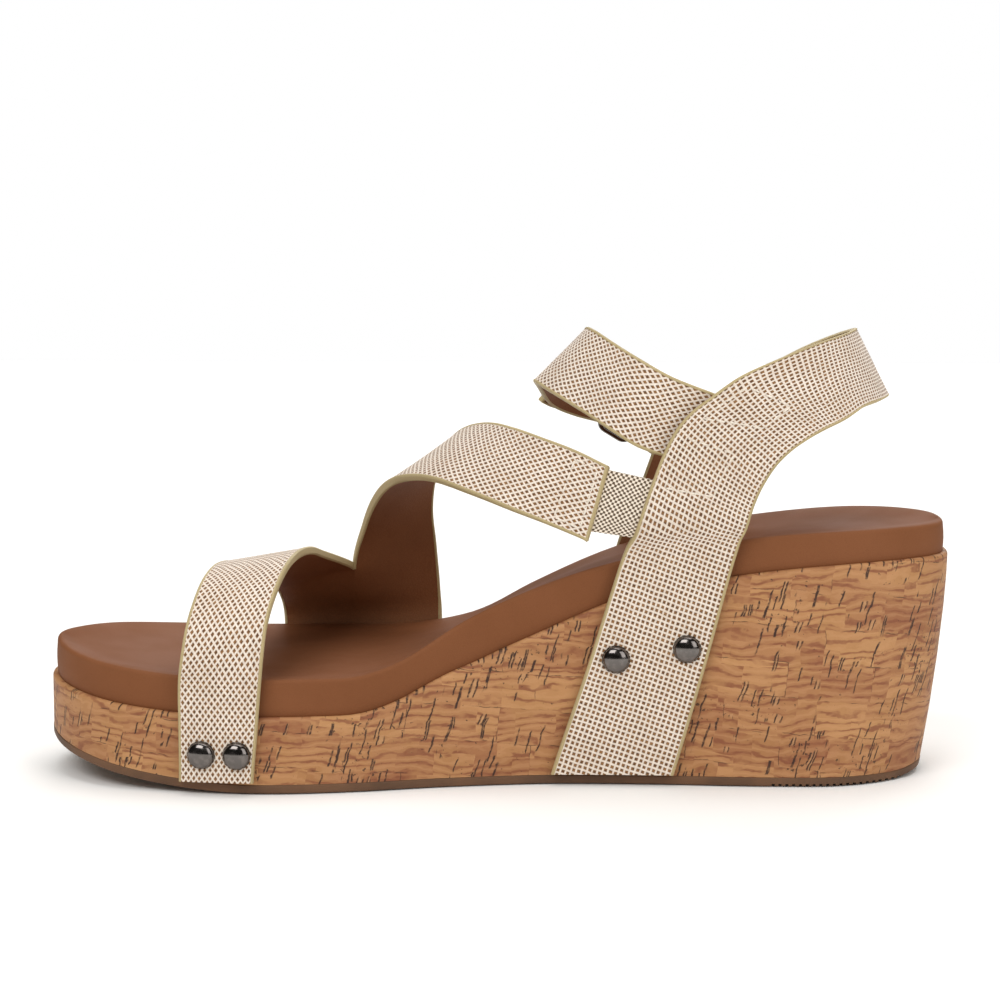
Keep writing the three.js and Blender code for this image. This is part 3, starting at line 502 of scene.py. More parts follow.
def low_edge(arm, t):
    s = np.linspace(0, 1, 401)
    spots = arm(s, t)
    keep = (s > 0.5) & (spots[:, 2] <= NOTCH_Z)
    return s[keep][0], spots[keep]


toe_notch, toe_edge = low_edge(toe_arm, 0.5)
instep_notch, instep_edge = low_edge(instep_arm, -0.5)


def panel_line(z):
    z = np.asarray(z, float)
    front, rear = (
        [np.interp(-z, -edge[:, 2], edge[:, k]) for k in (0, 1)] for edge in (toe_edge, instep_edge))
    span = rear[0] - front[0]
    share = np.where(span > GAP, np.clip((SPLIT_X - front[0]) / np.maximum(span, GAP), 0, 1), 0.5)
    return np.stack([np.full(z.shape, SPLIT_X), lerp(front[1], rear[1], share), z], -1)


def drawn_arm(arm, notch, edge_t):
    rim_spot = arm(np.array([notch]), np.array([edge_t]))
    at_notch = (panel_line(rim_spot[:, 2]) - rim_spot)[0]

    def surface(s, t):
        s, t = np.broadcast_arrays(np.asarray(s, float), np.asarray(t, float))
        rim = arm(s, np.full(s.shape, edge_t))
        above = smooth(notch - NOTCH_EASE, notch, s)[..., None] * at_notch
        move = np.where((s < notch)[..., None], above, panel_line(rim[..., 2]) - rim)
        return arm(s, t) + move * smooth(-0.25, 0.5, t * np.sign(edge_t))[..., None]

    return surface


toe_surface = drawn_arm(toe_arm, toe_notch, 0.5)
instep_surface = drawn_arm(instep_arm, instep_notch, -0.5)
print("notch at %.3f of the toe arm and %.3f of the instep arm" % (toe_notch, instep_notch))


# %% Lengths of the straps
def run_length(surface, s0, s1):
    spots = surface(np.linspace(s0, s1, 200), 0)
    return float(np.linalg.norm(np.diff(spots, axis=0), axis=1).sum())


for label, surface in (("toe", toe_surface), ("instep", instep_surface),
                       ("quarter", quarter_surface), ("ankle", ankle_surface)):
    print(label, "strap: %.0f mm long" % run_length(surface, 0, 1))

# %% [markdown]
# ## Making a piece from a flat grid
# A strap is cut flat and then bent, so its model starts the same way: a grid primitive is added, and
# each of its points is carried to its place on the ribbon. The grid keeps the flat cut as its UV map,
# in metres, so the weave lies on it as on real cloth. The same tool makes tubes and the sole's walls,
# where the grid is rolled up and its edges are merged.

# %% Grid helpers
def start_clean():
    if bpy.context.object and bpy.context.object.mode != "OBJECT":
        bpy.ops.object.mode_set(mode="OBJECT")
    bpy.ops.object.select_all(action="DESELECT")


def only(piece):
    start_clean()
    piece.select_set(True)
    bpy.context.view_layer.objects.active = piece


def edit(piece, *steps):
    """Runs edit-mode steps on the whole piece."""
    only(piece)
    bpy.ops.object.mode_set(mode="EDIT")
    bpy.ops.mesh.select_all(action="SELECT")
    for step in steps:
        step()
    bpy.ops.object.mode_set(mode="OBJECT")


def merge_close():
    bpy.ops.mesh.remove_doubles(threshold=2e-6)


def faces_out():
    bpy.ops.mesh.normals_make_consistent(inside=False)


def close_ends():
    bpy.ops.mesh.select_all(action="DESELECT")
    bpy.ops.mesh.select_non_manifold(extend=False, use_boundary=True, use_multi_face=False,
                                     use_non_contiguous=False, use_verts=False)
    bpy.ops.mesh.edge_face_add()
    bpy.ops.mesh.select_all(action="SELECT")


def bent_grid(name, across, along, place, cut=None):
    """A grid whose points go where place(a, b) says, for a and b from 0 to 1. cut gives the flat UV."""
    start_clean()
    bpy.ops.mesh.primitive_grid_add(x_subdivisions=across, y_subdivisions=along, size=1)
    piece = bpy.context.object
    piece.name = piece.data.name = name
    mesh = piece.data
    co = np.empty(len(mesh.vertices) * 3, np.float32)
    mesh.vertices.foreach_get("co", co)
    a, b = co[0::3].astype(float) + 0.5, co[1::3].astype(float) + 0.5
    mesh.vertices.foreach_set("co", (place(a, b) * MM).astype(np.float32).ravel())
    if cut is not None:
        index = np.empty(len(mesh.loops), np.int32)
        mesh.loops.foreach_get("vertex_index", index)
        flat = (cut(a, b) * MM).astype(np.float32)[index]
        mesh.uv_layers.active.data.foreach_set("uv", flat.ravel())
    mesh.update()
    return piece


def apply_modifier(piece, kind, **settings):
    only(piece)
    made = piece.modifiers.new(kind.title(), kind)
    for key, value in settings.items():
        setattr(made, key, value)
    bpy.ops.object.modifier_apply(modifier=made.name)


def soften(piece, degrees=40):
    only(piece)
    bpy.ops.object.shade_smooth_by_angle(angle=math.radians(degrees))


def finish_piece(piece, material, body, slot, *nodes, degrees=40):
    piece.data.materials.clear()
    piece.data.materials.append(material)
    soften(piece, degrees)
    if body:
        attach(piece, body)
    if nodes:
        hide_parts(*nodes)
    return piece


# %% [markdown]
# ## Woven cloth
# The straps are an open leno-like weave: cream cotton yarns cross about every 1.3 mm and leave small
# holes through which a brown backing shows. It is matt, with a soft sheen. The map is the flat cut in
# metres, so 1.3 mm in the node is 1.3 mm on the strap.

# %% Woven cloth material
YARN_PITCH = 1.3 * MM


def yarn_pattern(tree, pitch, wobble, stretch):
    """Two sets of crossing yarns, as waves. The stretch opens the weave along the strap."""
    uv = add(tree, "UVMap").outputs["UV"]
    stir = add(tree, "TexNoise", {"Vector": uv, "Scale": 0.35 / pitch, "Detail": 1.0}).outputs["Color"]
    shift = add(tree, "VectorMath", {0: stir, 1: (0.5, 0.5, 0.5)}, operation="SUBTRACT").outputs[0]
    far = add(tree, "VectorMath", {0: shift, "Scale": wobble * pitch}, operation="SCALE").outputs[0]
    moved = add(tree, "VectorMath", {0: uv, 1: far}, operation="ADD").outputs[0]
    turns = 2 * math.pi / pitch
    waves = []
    for way in ((turns, stretch * turns, 0.0), (stretch * turns, turns, 0.0)):
        phase = add(tree, "VectorMath", {0: moved, 1: way}, operation="DOT_PRODUCT").outputs["Value"]
        waves.append(add(tree, "Math", {0: phase}, operation="COSINE").outputs[0])
    return uv, waves


def map_range(tree, value, low, high, to_low=0.0, to_high=1.0, kind="SMOOTHSTEP"):
    return add(tree, "MapRange", {"Value": value, "From Min": low, "From Max": high,
                                  "To Min": to_low, "To Max": to_high}, interpolation_type=kind).outputs[0]


def mix(tree, factor, a, b):
    return add(tree, "Mix", {0: factor, 6: a, 7: b}, data_type="RGBA").outputs[2]


def woven_cloth():
    material, tree, shader = new_material("woven_cotton")
    uv, waves = yarn_pattern(tree, YARN_PITCH, 0.35, 0.17)
    yarns = [map_range(tree, wave, 0.1, 0.55) for wave in waves]
    cover = add(tree, "Math", {0: yarns[0], 1: yarns[1]}, operation="MAXIMUM").outputs[0]
    crossing = add(tree, "Math", {0: yarns[0], 1: yarns[1]}, operation="MULTIPLY").outputs[0]
    fuzz = add(tree, "TexNoise", {"Vector": uv, "Scale": 1.6 / YARN_PITCH, "Detail": 3.0}).outputs[0]
    cloud = add(tree, "TexNoise", {"Vector": uv, "Scale": 1 / (9 * MM), "Detail": 2.0}).outputs[0]
    backing = mix(tree, map_range(tree, fuzz, 0.35, 0.65), colour("#5d3c20"), colour("#90673d"))
    yarn = mix(tree, map_range(tree, fuzz, 0.3, 0.7), colour("#d9cabb"), colour("#efe3d6"))
    yarn = mix(tree, map_range(tree, cloud, 0.35, 0.7, 0.0, 0.25), yarn, colour("#bfaa94"))
    yarn = mix(tree, add(tree, "Math", {0: crossing, 1: 0.25}, operation="MULTIPLY").outputs[0],
               yarn, colour("#f8efe4"))
    tree.links.new(mix(tree, cover, backing, yarn), shader.inputs["Base Color"])
    high = add(tree, "Math", {0: cover, 1: crossing}, operation="ADD").outputs[0]
    high = add(tree, "Math", {0: fuzz, 1: 0.35, 2: high}, operation="MULTIPLY_ADD").outputs[0]
    bump = add(tree, "Bump", {"Height": high, "Strength": 0.55, "Distance": 0.25 * MM})
    tree.links.new(bump.outputs[0], shader.inputs["Normal"])
    shader.inputs["Roughness"].default_value = 0.9
    shader.inputs["IOR"].default_value = 1.5
    shader.inputs["Sheen Weight"].default_value = 0.15
    shader.inputs["Sheen Roughness"].default_value = 0.5
    return material


cloth = woven_cloth()

# %% [markdown]
# ## Edge binding
# The raw edges of the straps are turned in under a thin coated tape in khaki. It has a very fine
# pressed grain and a slight gloss.

# %% Grained skins
def grained_skin(name, base, dark, rough, grain, depth, shine=0.3, crease=0.0):
    """Smooth-finished leather or coated tape: a tint that drifts, pores, fine creases, and painted shade in
    the grain's valleys.
    """
    material, tree, shader = new_material(name)
    spot = add(tree, "TexCoord").outputs["Object"]
    cloud = add(tree, "TexNoise", {"Vector": spot, "Scale": 1 / (22 * MM), "Detail": 3.0}).outputs[0]
    cells = add(tree, "TexVoronoi", {"Vector": spot, "Scale": 1 / grain},
                feature="DISTANCE_TO_EDGE").outputs[0]
    pores = add(tree, "TexNoise", {"Vector": spot, "Scale": 2 / grain, "Detail": 2.0}).outputs[0]
    tint = mix(tree, map_range(tree, cloud, 0.3, 0.75, 0.0, 0.35), colour(base), colour(dark))
    # Painted shade: the grain's valleys, along the cell edges where the bump sinks, are mixed up to a third
    # toward the dark colour.
    painted_valley_shade = map_range(tree, cells, 0.0, 0.12, 0.35, 0.0)
    tree.links.new(mix(tree, painted_valley_shade, tint, colour(dark)), shader.inputs["Base Color"])
    high = map_range(tree, cells, 0.0, 0.25)
    high = add(tree, "Math", {0: pores, 1: 0.6, 2: high}, operation="MULTIPLY_ADD").outputs[0]
    if crease:
        long = add(tree, "Mapping", {"Vector": spot, "Scale": (0.25, 0.25, 1.6)})
        folds = add(tree, "TexNoise", {"Vector": long.outputs[0], "Scale": 1 / (3.2 * MM), "Detail": 3.0,
                                       "Distortion": 0.6}).outputs[0]
        high = add(tree, "Math", {0: folds, 1: crease, 2: high}, operation="MULTIPLY_ADD").outputs[0]
    bump = add(tree, "Bump", {"Height": high, "Strength": 0.3, "Distance": depth})
    tree.links.new(bump.outputs[0], shader.inputs["Normal"])
    tree.links.new(map_range(tree, cloud, 0.3, 0.7, rough - 0.05, rough + 0.06), shader.inputs["Roughness"])
    shader.inputs["IOR"].default_value = 1.5
    shader.inputs["Specular IOR Level"].default_value = shine
    return material


binding_tape = grained_skin("coated_khaki_tape", "#b8a67c", "#978660", 0.55, 0.5 * MM, 0.05 * MM)
lining_leather = grained_skin("brown_lining_leather", "#875838", "#6d4329", 0.6, 0.8 * MM, 0.08 * MM,
                              crease=2.0)
footbed_leather = grained_skin("brown_footbed_leather", "#7f4f31", "#6d4227", 0.72, 0.45 * MM, 0.03 * MM,
                               shine=0.15)

# %% [markdown]
# ## Rolled walls of the sole
# The sole's layers all follow one outline. Each is a grid rolled round that outline: the grid's rows
# are levels, given by how far they sit inside the outline and how high they are. Then a second grid,
# whose two long edges lie on the wall's rim, closes the top, so that the surface between can bend.

# %% Sole helpers
SHARES = 120


def around(a):
    """Outline place for a from 0 to 1: toe to heel on the inner side, then back on the outer side."""
    a = np.asarray(a, float)
    inner = edge_spot(np.minimum(2 * a, 1), True)
    outer = edge_spot(np.clip(2 - 2 * a, 0, 1), False)
    return np.where(a <= 0.5, inner, outer)


def wall(name, levels):
    """A tube round the outline. Each level is (inset, height function of x and y)."""
    insets = np.array([level[0] for level in levels], float)
    last = len(levels) - 1

    def place(a, b):
        row = np.rint(b * last).astype(int)
        xy = edge_point(around(a), insets[row])
        base = edge_point(around(a), np.zeros(len(a)))
        z = np.empty(len(a))
        for k, (_, height) in enumerate(levels):
            z[row == k] = height(base[row == k, 0], base[row == k, 1])
        return np.stack([lean_x(xy[:, 0], z), xy[:, 1], z], 1)

    def cut(a, b):
        spot = around(a) / SPOTS * PERIMETER
        return np.stack([np.where(a > 0.5, spot + PERIMETER, spot), place(a, b)[:, 2]], 1)

    return bent_grid(name, 2 * SHARES, last, place, cut)


def deck(name, inset, height, across=14):
    """The surface that closes a wall, from its inner side to its outer side."""

    def place(a, b):
        one = edge_point(edge_spot(b, True), np.full(len(b), float(inset)))
        two = edge_point(edge_spot(b, False), np.full(len(b), float(inset)))
        tip = (b < 1e-6) | (b > 1 - 1e-6)
        t = np.where(tip, 0.0, a)[:, None]
        xy = lerp(one, two, t)
        base_one = edge_point(edge_spot(b, True), np.zeros(len(b)))
        base_two = edge_point(edge_spot(b, False), np.zeros(len(b)))
        base = lerp(base_one, base_two, t)
        edge = np.minimum(np.linalg.norm(xy - one, axis=1), np.linalg.norm(xy - two, axis=1))
        z = height(base[:, 0], base[:, 1], edge)
        return np.stack([lean_x(xy[:, 0], z), xy[:, 1], z], 1)

    return bent_grid(name, across, SHARES, place, lambda a, b: place(a, b)[:, :2])


def join(name, *pieces):
    start_clean()
    for piece in pieces:
        piece.select_set(True)
    bpy.context.view_layer.objects.active = pieces[0]
    if len(pieces) > 1:
        bpy.ops.object.join()
    made = bpy.context.object
    made.name = made.data.name = name
    return made


# %% [markdown]
# ## The footbed
# A soft foam bed under brown leather, about a centimetre thick and a little more at the waist, that
# stands just inside the cork. Its side is nearly upright and a little full, its top edge is rounded,
# and the top is dished for the foot.

# %% Footbed
EDGE_R = 1.1
DISH, DISH_EASE = 1.3, 14
BED_TUCK, BED_SINK, SIDE_SINK, SIDE_FULLNESS = 1.6, 0.7, 0.3, 0.25


def footbed_rim(drop):
    return lambda x, y: footbed_top(x, y) - drop


footbed_levels = [
    (CORK_LIP + BED_TUCK, lambda x, y: cork_top(x, y) - BED_SINK),
    (CORK_LIP + 0.35, lambda x, y: cork_top(x, y) - BED_SINK),
    (CORK_LIP, lambda x, y: cork_top(x, y) - SIDE_SINK),
]
for share in (0.3, 0.5, 0.7):
    footbed_levels.append((
        CORK_LIP - SIDE_FULLNESS * math.sin(math.pi * share),
        lambda x, y, share=share: lerp(
            cork_top(x, y) - SIDE_SINK, footbed_top(x, y) - EDGE_R, share)))
for step in range(6):
    angle = math.pi / 2 * step / 5
    footbed_levels.append((CORK_LIP + EDGE_R * (1 - math.cos(angle)),
                           footbed_rim(EDGE_R * (1 - math.sin(angle)))))
bed_wall = wall("footbed_wall", footbed_levels)
bed_deck = deck("footbed_deck", CORK_LIP + EDGE_R,
                lambda x, y, edge: footbed_top(x, y) - DISH * smooth(0, DISH_EASE, edge))
bed_base = deck("footbed_base", CORK_LIP + BED_TUCK, lambda x, y, edge: cork_top(x, y) - BED_SINK)
footbed = join("footbed", bed_wall, bed_deck, bed_base)
edit(footbed, merge_close, faces_out)
finish_piece(footbed, footbed_leather, "shoe", "footbed_leather", "footbed_cover", "footbed_foam", degrees=55)
print("footbed:", len(footbed.data.vertices), "points")

# %% [markdown]
# ## Cork
# Agglomerated cork veneer: thin slices of pressed cork blocks are laid side by side, so the sheet has
# patches of slightly different tan, wavy reddish growth lines that run along it, and dark brown
# slits that stand nearly upright, some of them double. It is matt with a thin clear lacquer. The slabs
# are about 25 by 9 mm, the growth lines about 3 mm apart and the slits up to 8 mm long.

# %% Cork material
SLAB_LONG, SLAB_HIGH, SLAB_OFFSET = 25.0, 9.5, 0.37


def cork_material():
    material, tree, shader = new_material("cork_veneer")
    uv = add(tree, "UVMap").outputs["UV"]
    in_mm = add(tree, "Mapping", {"Vector": uv, "Scale": (1 / MM, 1 / MM, 1 / MM)}).outputs[0]
    turned = add(tree, "Mapping", {"Vector": in_mm, "Rotation": (0, 0, math.radians(5))}).outputs[0]
    stir = add(tree, "TexNoise", {"Vector": in_mm, "Scale": 0.16, "Detail": 3.0}).outputs["Color"]
    shift = add(tree, "VectorMath", {0: stir, 1: (0.5, 0.5, 0.5)}, operation="SUBTRACT").outputs[0]
    shift = add(tree, "VectorMath", {0: shift, "Scale": 2.2}, operation="SCALE").outputs[0]
    moved = add(tree, "VectorMath", {0: turned, 1: shift}, operation="ADD").outputs[0]

    def bricks(vector, long, high, offset, place):
        laid = add(tree, "Mapping", {"Vector": vector, "Location": place}).outputs[0]
        return add(tree, "TexBrick", {
            "Vector": laid, "Color1": (0, 0, 0, 1), "Color2": (1, 1, 1, 1), "Mortar": (0.5, 0.5, 0.5, 1),
            "Scale": 1.0, "Mortar Size": 0.0, "Brick Width": long, "Row Height": high},
            offset=offset).outputs[0]

    slabs = bricks(moved, SLAB_LONG, SLAB_HIGH, SLAB_OFFSET, (3.0, 2.0, 0.0))
    blocks = bricks(moved, 10.5, 6.1, 0.43, (7.0, 3.0, 0.0))
    tone = add(tree, "Math", {0: slabs, 1: 0.5}, operation="MULTIPLY").outputs[0]
    tone = add(tree, "Math", {0: blocks, 1: 0.5, 2: tone}, operation="MULTIPLY_ADD").outputs[0]
    tint = mix(tree, tone, colour("#b98858"), colour("#915b38"))
    cloud = add(tree, "TexNoise", {"Vector": in_mm, "Scale": 0.12, "Detail": 3.0}).outputs[0]
    tint = mix(tree, map_range(tree, cloud, 0.4, 0.7, 0.0, 0.45), tint, colour("#a57645"))

    # Growth lines: the height, swayed by slow noise and shifted from slab to slab.
    height = add(tree, "SeparateXYZ", {0: in_mm}).outputs[1]
    flow = add(tree, "Mapping", {"Vector": in_mm, "Scale": (0.045, 0.1, 1.0)}).outputs[0]
    sway = add(tree, "TexNoise", {"Vector": flow, "Scale": 1.0, "Detail": 4.0, "Roughness": 0.55}).outputs[0]
    level = add(tree, "Math", {0: height, 1: 2.2}, operation="MULTIPLY").outputs[0]
    level = add(tree, "Math", {0: sway, 1: 26.0, 2: level}, operation="MULTIPLY_ADD").outputs[0]
    level = add(tree, "Math", {0: tone, 1: 9.0, 2: level}, operation="MULTIPLY_ADD").outputs[0]
    rings = add(tree, "Math", {0: level}, operation="SINE").outputs[0]
    worn = add(tree, "TexNoise", {"Vector": in_mm, "Scale": 0.18, "Detail": 3.0}).outputs[0]
    lines = add(tree, "Math", {
        0: map_range(tree, rings, 0.35, 1.0), 1: map_range(tree, worn, 0.3, 0.6, 0.1, 0.8)},
        operation="MULTIPLY").outputs[0]
    tint = mix(tree, lines, tint, colour("#7d442a"))
    pale = map_range(tree, rings, -1.0, -0.4, 0.25, 0.0)
    tint = mix(tree, pale, tint, colour("#c39366"))

    # Slits: one upright mark in each chosen cell, single or double, in leaning coordinates.
    across = add(tree, "SeparateXYZ", {0: moved}).outputs[0]
    leaned = add(tree, "Math", {0: height, 1: -0.2, 2: across}, operation="MULTIPLY_ADD").outputs[0]
    crumble = add(tree, "TexNoise", {
        "Vector": in_mm, "Scale": 0.75, "Detail": 3.0, "Roughness": 0.6}).outputs[0]
    wobbled = add(tree, "Math", {0: crumble, 1: 0.5, 2: leaned}, operation="MULTIPLY_ADD").outputs[0]
    crowd = add(tree, "TexNoise", {"Vector": in_mm, "Scale": 0.07, "Detail": 1.0}).outputs[0]

    def slits(apart, long, rarity, place):
        column = add(tree, "Math", {0: wobbled, 1: 1 / apart, 2: place}, operation="MULTIPLY_ADD").outputs[0]
        row = add(tree, "Math", {0: height, 1: 1 / long, 2: place}, operation="MULTIPLY_ADD").outputs[0]
        squeezed = add(tree, "CombineXYZ", {0: column, 1: row}).outputs[0]
        cells = add(tree, "TexVoronoi", {"Vector": squeezed, "Scale": 1.0}, voronoi_dimensions="2D")
        away = add(tree, "VectorMath", {0: squeezed, 1: cells.outputs["Position"]},
                   operation="SUBTRACT").outputs[0]
        away = add(tree, "VectorMath", {0: away, 1: (apart, long, 0.0)}, operation="MULTIPLY").outputs[0]
        away = add(tree, "VectorMath", {0: away}, operation="ABSOLUTE").outputs[0]
        aside, above = (add(tree, "SeparateXYZ", {0: away}).outputs[k] for k in (0, 1))
        chance, spread = (add(tree, "SeparateColor", {0: cells.outputs["Color"]}).outputs[k] for k in (0, 1))
        gape = map_range(tree, spread, 0.6, 1.0, 0.0, 0.8, "LINEAR")
        off = add(tree, "Math", {0: aside, 1: gape}, operation="SUBTRACT").outputs[0]
        apart_from_line = add(tree, "Math", {0: off}, operation="ABSOLUTE").outputs[0]
        line = map_range(tree, apart_from_line, 0.08, 0.34, 1.0, 0.0)
        ends = map_range(tree, add(tree, "Math", {0: spread, 1: long / 5, 2: above},
                                   operation="MULTIPLY_ADD").outputs[0], long * 0.42, long * 0.5, 1.0, 0.0)
        chosen = add(tree, "Math", {0: crowd, 1: 1.5, 2: chance}, operation="MULTIPLY_ADD").outputs[0]
        shown = add(tree, "Math", {0: ends, 1: map_range(tree, chosen, rarity, rarity + 0.05)},
                    operation="MULTIPLY").outputs[0]
        slit = add(tree, "Math", {0: line, 1: shown}, operation="MULTIPLY").outputs[0]
        filled = add(tree, "Math", {0: map_range(tree, off, -0.3, 0.0, 0.5, 0.0), 1: shown},
                     operation="MULTIPLY").outputs[0]
        return slit, filled

    long_slit, long_filled = slits(3.1, 9.0, 1.43, 0.0)
    short_slit, short_filled = slits(2.0, 5.0, 1.52, 5.3)
    filled = add(tree, "Math", {0: long_filled, 1: short_filled}, operation="MAXIMUM").outputs[0]
    tint = mix(tree, filled, tint, colour("#b98d62"))
    slit = add(tree, "Math", {0: long_slit, 1: short_slit}, operation="MAXIMUM").outputs[0]

    # Crumbs: small dark clusters where the cork broke out.
    near = add(tree, "Math", {0: crowd, 1: 0.3, 2: crumble}, operation="MULTIPLY_ADD").outputs[0]
    crumbs = map_range(tree, near, 0.8, 0.86, 0.0, 0.8)
    # Joints: a thin broken dark line where two slabs meet.
    joints = add(tree, "TexBrick", {
        "Vector": add(tree, "Mapping", {"Vector": moved, "Location": (3.0, 2.0, 0.0)}).outputs[0],
        "Color1": (0, 0, 0, 1), "Color2": (0, 0, 0, 1), "Mortar": (1, 1, 1, 1), "Scale": 1.0,
        "Mortar Size": 0.13, "Mortar Smooth": 0.4, "Brick Width": SLAB_LONG, "Row Height": SLAB_HIGH},
        offset=SLAB_OFFSET).outputs[0]
    joints = add(tree, "Math", {0: joints, 1: map_range(tree, worn, 0.48, 0.6, 0.0, 0.75)},
                 operation="MULTIPLY").outputs[0]
    dark = add(tree, "Math", {0: slit, 1: crumbs}, operation="MAXIMUM").outputs[0]
    dark = add(tree, "Math", {0: dark, 1: joints}, operation="MAXIMUM").outputs[0]
    dark = add(tree, "Math", {0: dark, 1: map_range(tree, crumble, 0.3, 0.55, 0.45, 1.0)},
               operation="MULTIPLY").outputs[0]
    tint = mix(tree, dark, tint, colour("#341d12"))
    tree.links.new(tint, shader.inputs["Base Color"])

    fine = add(tree, "TexNoise", {"Vector": in_mm, "Scale": 1.8, "Detail": 3.0}).outputs[0]
    high = add(tree, "Math", {0: dark, 1: -1.4, 2: fine}, operation="MULTIPLY_ADD").outputs[0]
    high = add(tree, "Math", {0: lines, 1: -0.35, 2: high}, operation="MULTIPLY_ADD").outputs[0]
    bump = add(tree, "Bump", {"Height": high, "Strength": 0.4, "Distance": 0.15 * MM})
    tree.links.new(bump.outputs[0], shader.inputs["Normal"])
    shader.inputs["Roughness"].default_value = 0.62
    shader.inputs["IOR"].default_value = 1.45
    return material


cork = cork_material()

# %% [markdown]
# ## The cork wrap
# One band of veneer goes round the wedge, from the outsole to the footbed. It is a closed band with
# its own thickness, and its top edge is rolled over softly beside the footbed.

# %% Cork wrap
CORK_T = 1.2
ROLL_R = 1.1
SEAT_W = 1.2
SEAT_CLEAR = 0.05


def band_foot(x, y):
    return outsole_top(x) + SEAT_CLEAR


cork_levels = [(CORK_T, band_foot), (0.0, band_foot)]
for share in (0.25, 0.5, 0.75, 0.9):
    cork_levels.append((
        0.0, lambda x, y, share=share: lerp(outsole_top(x), cork_top(x, y) - ROLL_R, share)))
for step in range(6):
    angle = math.pi / 2 * step / 5
    cork_levels.append((ROLL_R * (1 - math.cos(angle)),
                        lambda x, y, angle=angle: cork_top(x, y) - ROLL_R * (1 - math.sin(angle))))
for inset, drop in ((CORK_LIP + SEAT_W, 0.1), (CORK_LIP + SEAT_W, 1.2), (CORK_T, 2.0)):
    cork_levels.append((inset, lambda x, y, drop=drop: cork_top(x, y) - drop))
cork_levels.append((CORK_T, band_foot))
cork_wrap = wall("cork_band", cork_levels)
edit(cork_wrap, merge_close, faces_out)
finish_piece(cork_wrap, cork, "shoe", "cork", "cork_wrap", degrees=55)
print("cork band:", len(cork_wrap.data.vertices), "points")

# %% [markdown]
# ## Outsole
# Moulded brown rubber, 2.4 mm thick, with a rounded lower edge. Fine ribs are cut across it under the
# ball and the heel. The cutters are bars: one is modelled, copied along the sole, and all of them are
# taken away with one Boolean.

# %% Outsole
TREAD_PITCH = 1.8
TREAD_CUT = 0.7


def rubber_material():
    material, tree, shader = new_material("moulded_brown_rubber")
    spot = add(tree, "TexCoord").outputs["Object"]
    cloud = add(tree, "TexNoise", {"Vector": spot, "Scale": 1 / (12 * MM), "Detail": 3.0}).outputs[0]
    grit = add(tree, "TexNoise", {"Vector": spot, "Scale": 1 / (0.6 * MM), "Detail": 2.0}).outputs[0]
    tint = mix(tree, map_range(tree, cloud, 0.3, 0.7), colour("#6b4a30"), colour("#593d27"))
    tree.links.new(tint, shader.inputs["Base Color"])
    bump = add(tree, "Bump", {"Height": grit, "Strength": 0.3, "Distance": 0.08 * MM})
    tree.links.new(bump.outputs[0], shader.inputs["Normal"])
    shader.inputs["Roughness"].default_value = 0.7
    shader.inputs["IOR"].default_value = 1.52
    return material


rubber = rubber_material()
sole_levels = [
    (1.0, lambda x, y: outsole_top(x)),
    (0.1, lambda x, y: outsole_top(x)),
    (-0.1, lambda x, y: outsole_top(x) - 0.25),
    (-0.1, lambda x, y: sole_bottom(x) + 0.7),
    (0.1, lambda x, y: sole_bottom(x) + 0.25),
    (0.6, lambda x, y: sole_bottom(x)),
]
sole_wall = wall("outsole_wall", sole_levels)
sole_top = deck("outsole_top", 1.0, lambda x, y, edge: outsole_top(x), across=4)
sole_base = deck("outsole_base", 0.6, lambda x, y, edge: sole_bottom(x), across=4)
outsole = join("rubber_outsole", sole_wall, sole_top, sole_base)
edit(outsole, merge_close, faces_out)

start_clean()
bars = []
for low, high, wide in ((-0.36, -0.06, 0.068), (0.3, 0.487, 0.11)):
    for x in np.arange(low * LENGTH, high * LENGTH, TREAD_PITCH):
        lift = float(sole_bottom(np.array(x)))
        bpy.ops.mesh.primitive_cube_add(size=1, location=(x * MM, 0, (lift - 1 + TREAD_CUT) * MM))
        bar = bpy.context.object
        bar.scale = (0.8 * MM, wide, 2 * MM)
        bars.append(bar)
cutter = join("tread_cutter", *bars)
apply_modifier(outsole, "BOOLEAN", object=cutter, operation="DIFFERENCE", solver="EXACT")
bpy.data.objects.remove(cutter)
finish_piece(outsole, rubber, "shoe", "outsole_rubber", "outsole", degrees=35)
print("outsole:", len(outsole.data.vertices), "points,", len(bars), "grooves")

# %% [markdown]
# ## A layer of a strap
# A strap has two layers: the woven cloth outside and brown leather inside. Each is a grid that is bent
# to the ribbon and thickened outwards. Below the notch of the vamp the ribbons of the two arms already
# meet on one line, so their layers do too. The turn lays the weave on the bias.

# %% Strap layers
LINING_T = 0.85
CLOTH_LOW = 0.9
CLOTH_T = 1.1
STRAP_TOP = CLOTH_LOW + CLOTH_T
LAYER_ACROSS, LAYER_STEP = 8, 2.0


def layer(name, surface, width, span, low, thick, turn=45.0, dip=None):
    s0, s1 = span
    long = run_length(surface, s0, s1)
    along = max(4, int(round(long / LAYER_STEP)))
    c, n = math.cos(math.radians(turn)), math.sin(math.radians(turn))
    table = np.linspace(s0, s1, 400)
    spots = surface(table, 0)
    travel = np.concatenate([[0], np.cumsum(np.linalg.norm(np.diff(spots, axis=0), axis=1))])

    def both(a, b):
        return lerp(s0, s1, b), a - 0.5

    def place(a, b):
        s, t = both(a, b)
        sunk = dip(s) if dip else 0.0
        return off_surface(surface, s, t, low - sunk)

    def cut(a, b):
        s, t = both(a, b)
        u, v = t * width, np.interp(s, table, travel)
        return np.stack([c * u - n * v, n * u + c * v], 1)

    piece = bent_grid(name, LAYER_ACROSS, along, place, cut)
    apply_modifier(piece, "SOLIDIFY", thickness=thick * MM, offset=1.0, use_rim=True)
    return piece, (width * MM, long * MM)


TAPE_LOW, TAPE_HIGH, TAPE_OVER = -0.1, STRAP_TOP + 0.12, 0.12
TAPE_REACH, TAPE_PROUD, SLIM_REACH, SLIM_PROUD = 0.75, 0.3, 0.6, 0.25
TAPE_ROUND, SLIM_ROUND = 7, 6
TAPE_STEP = 1.5


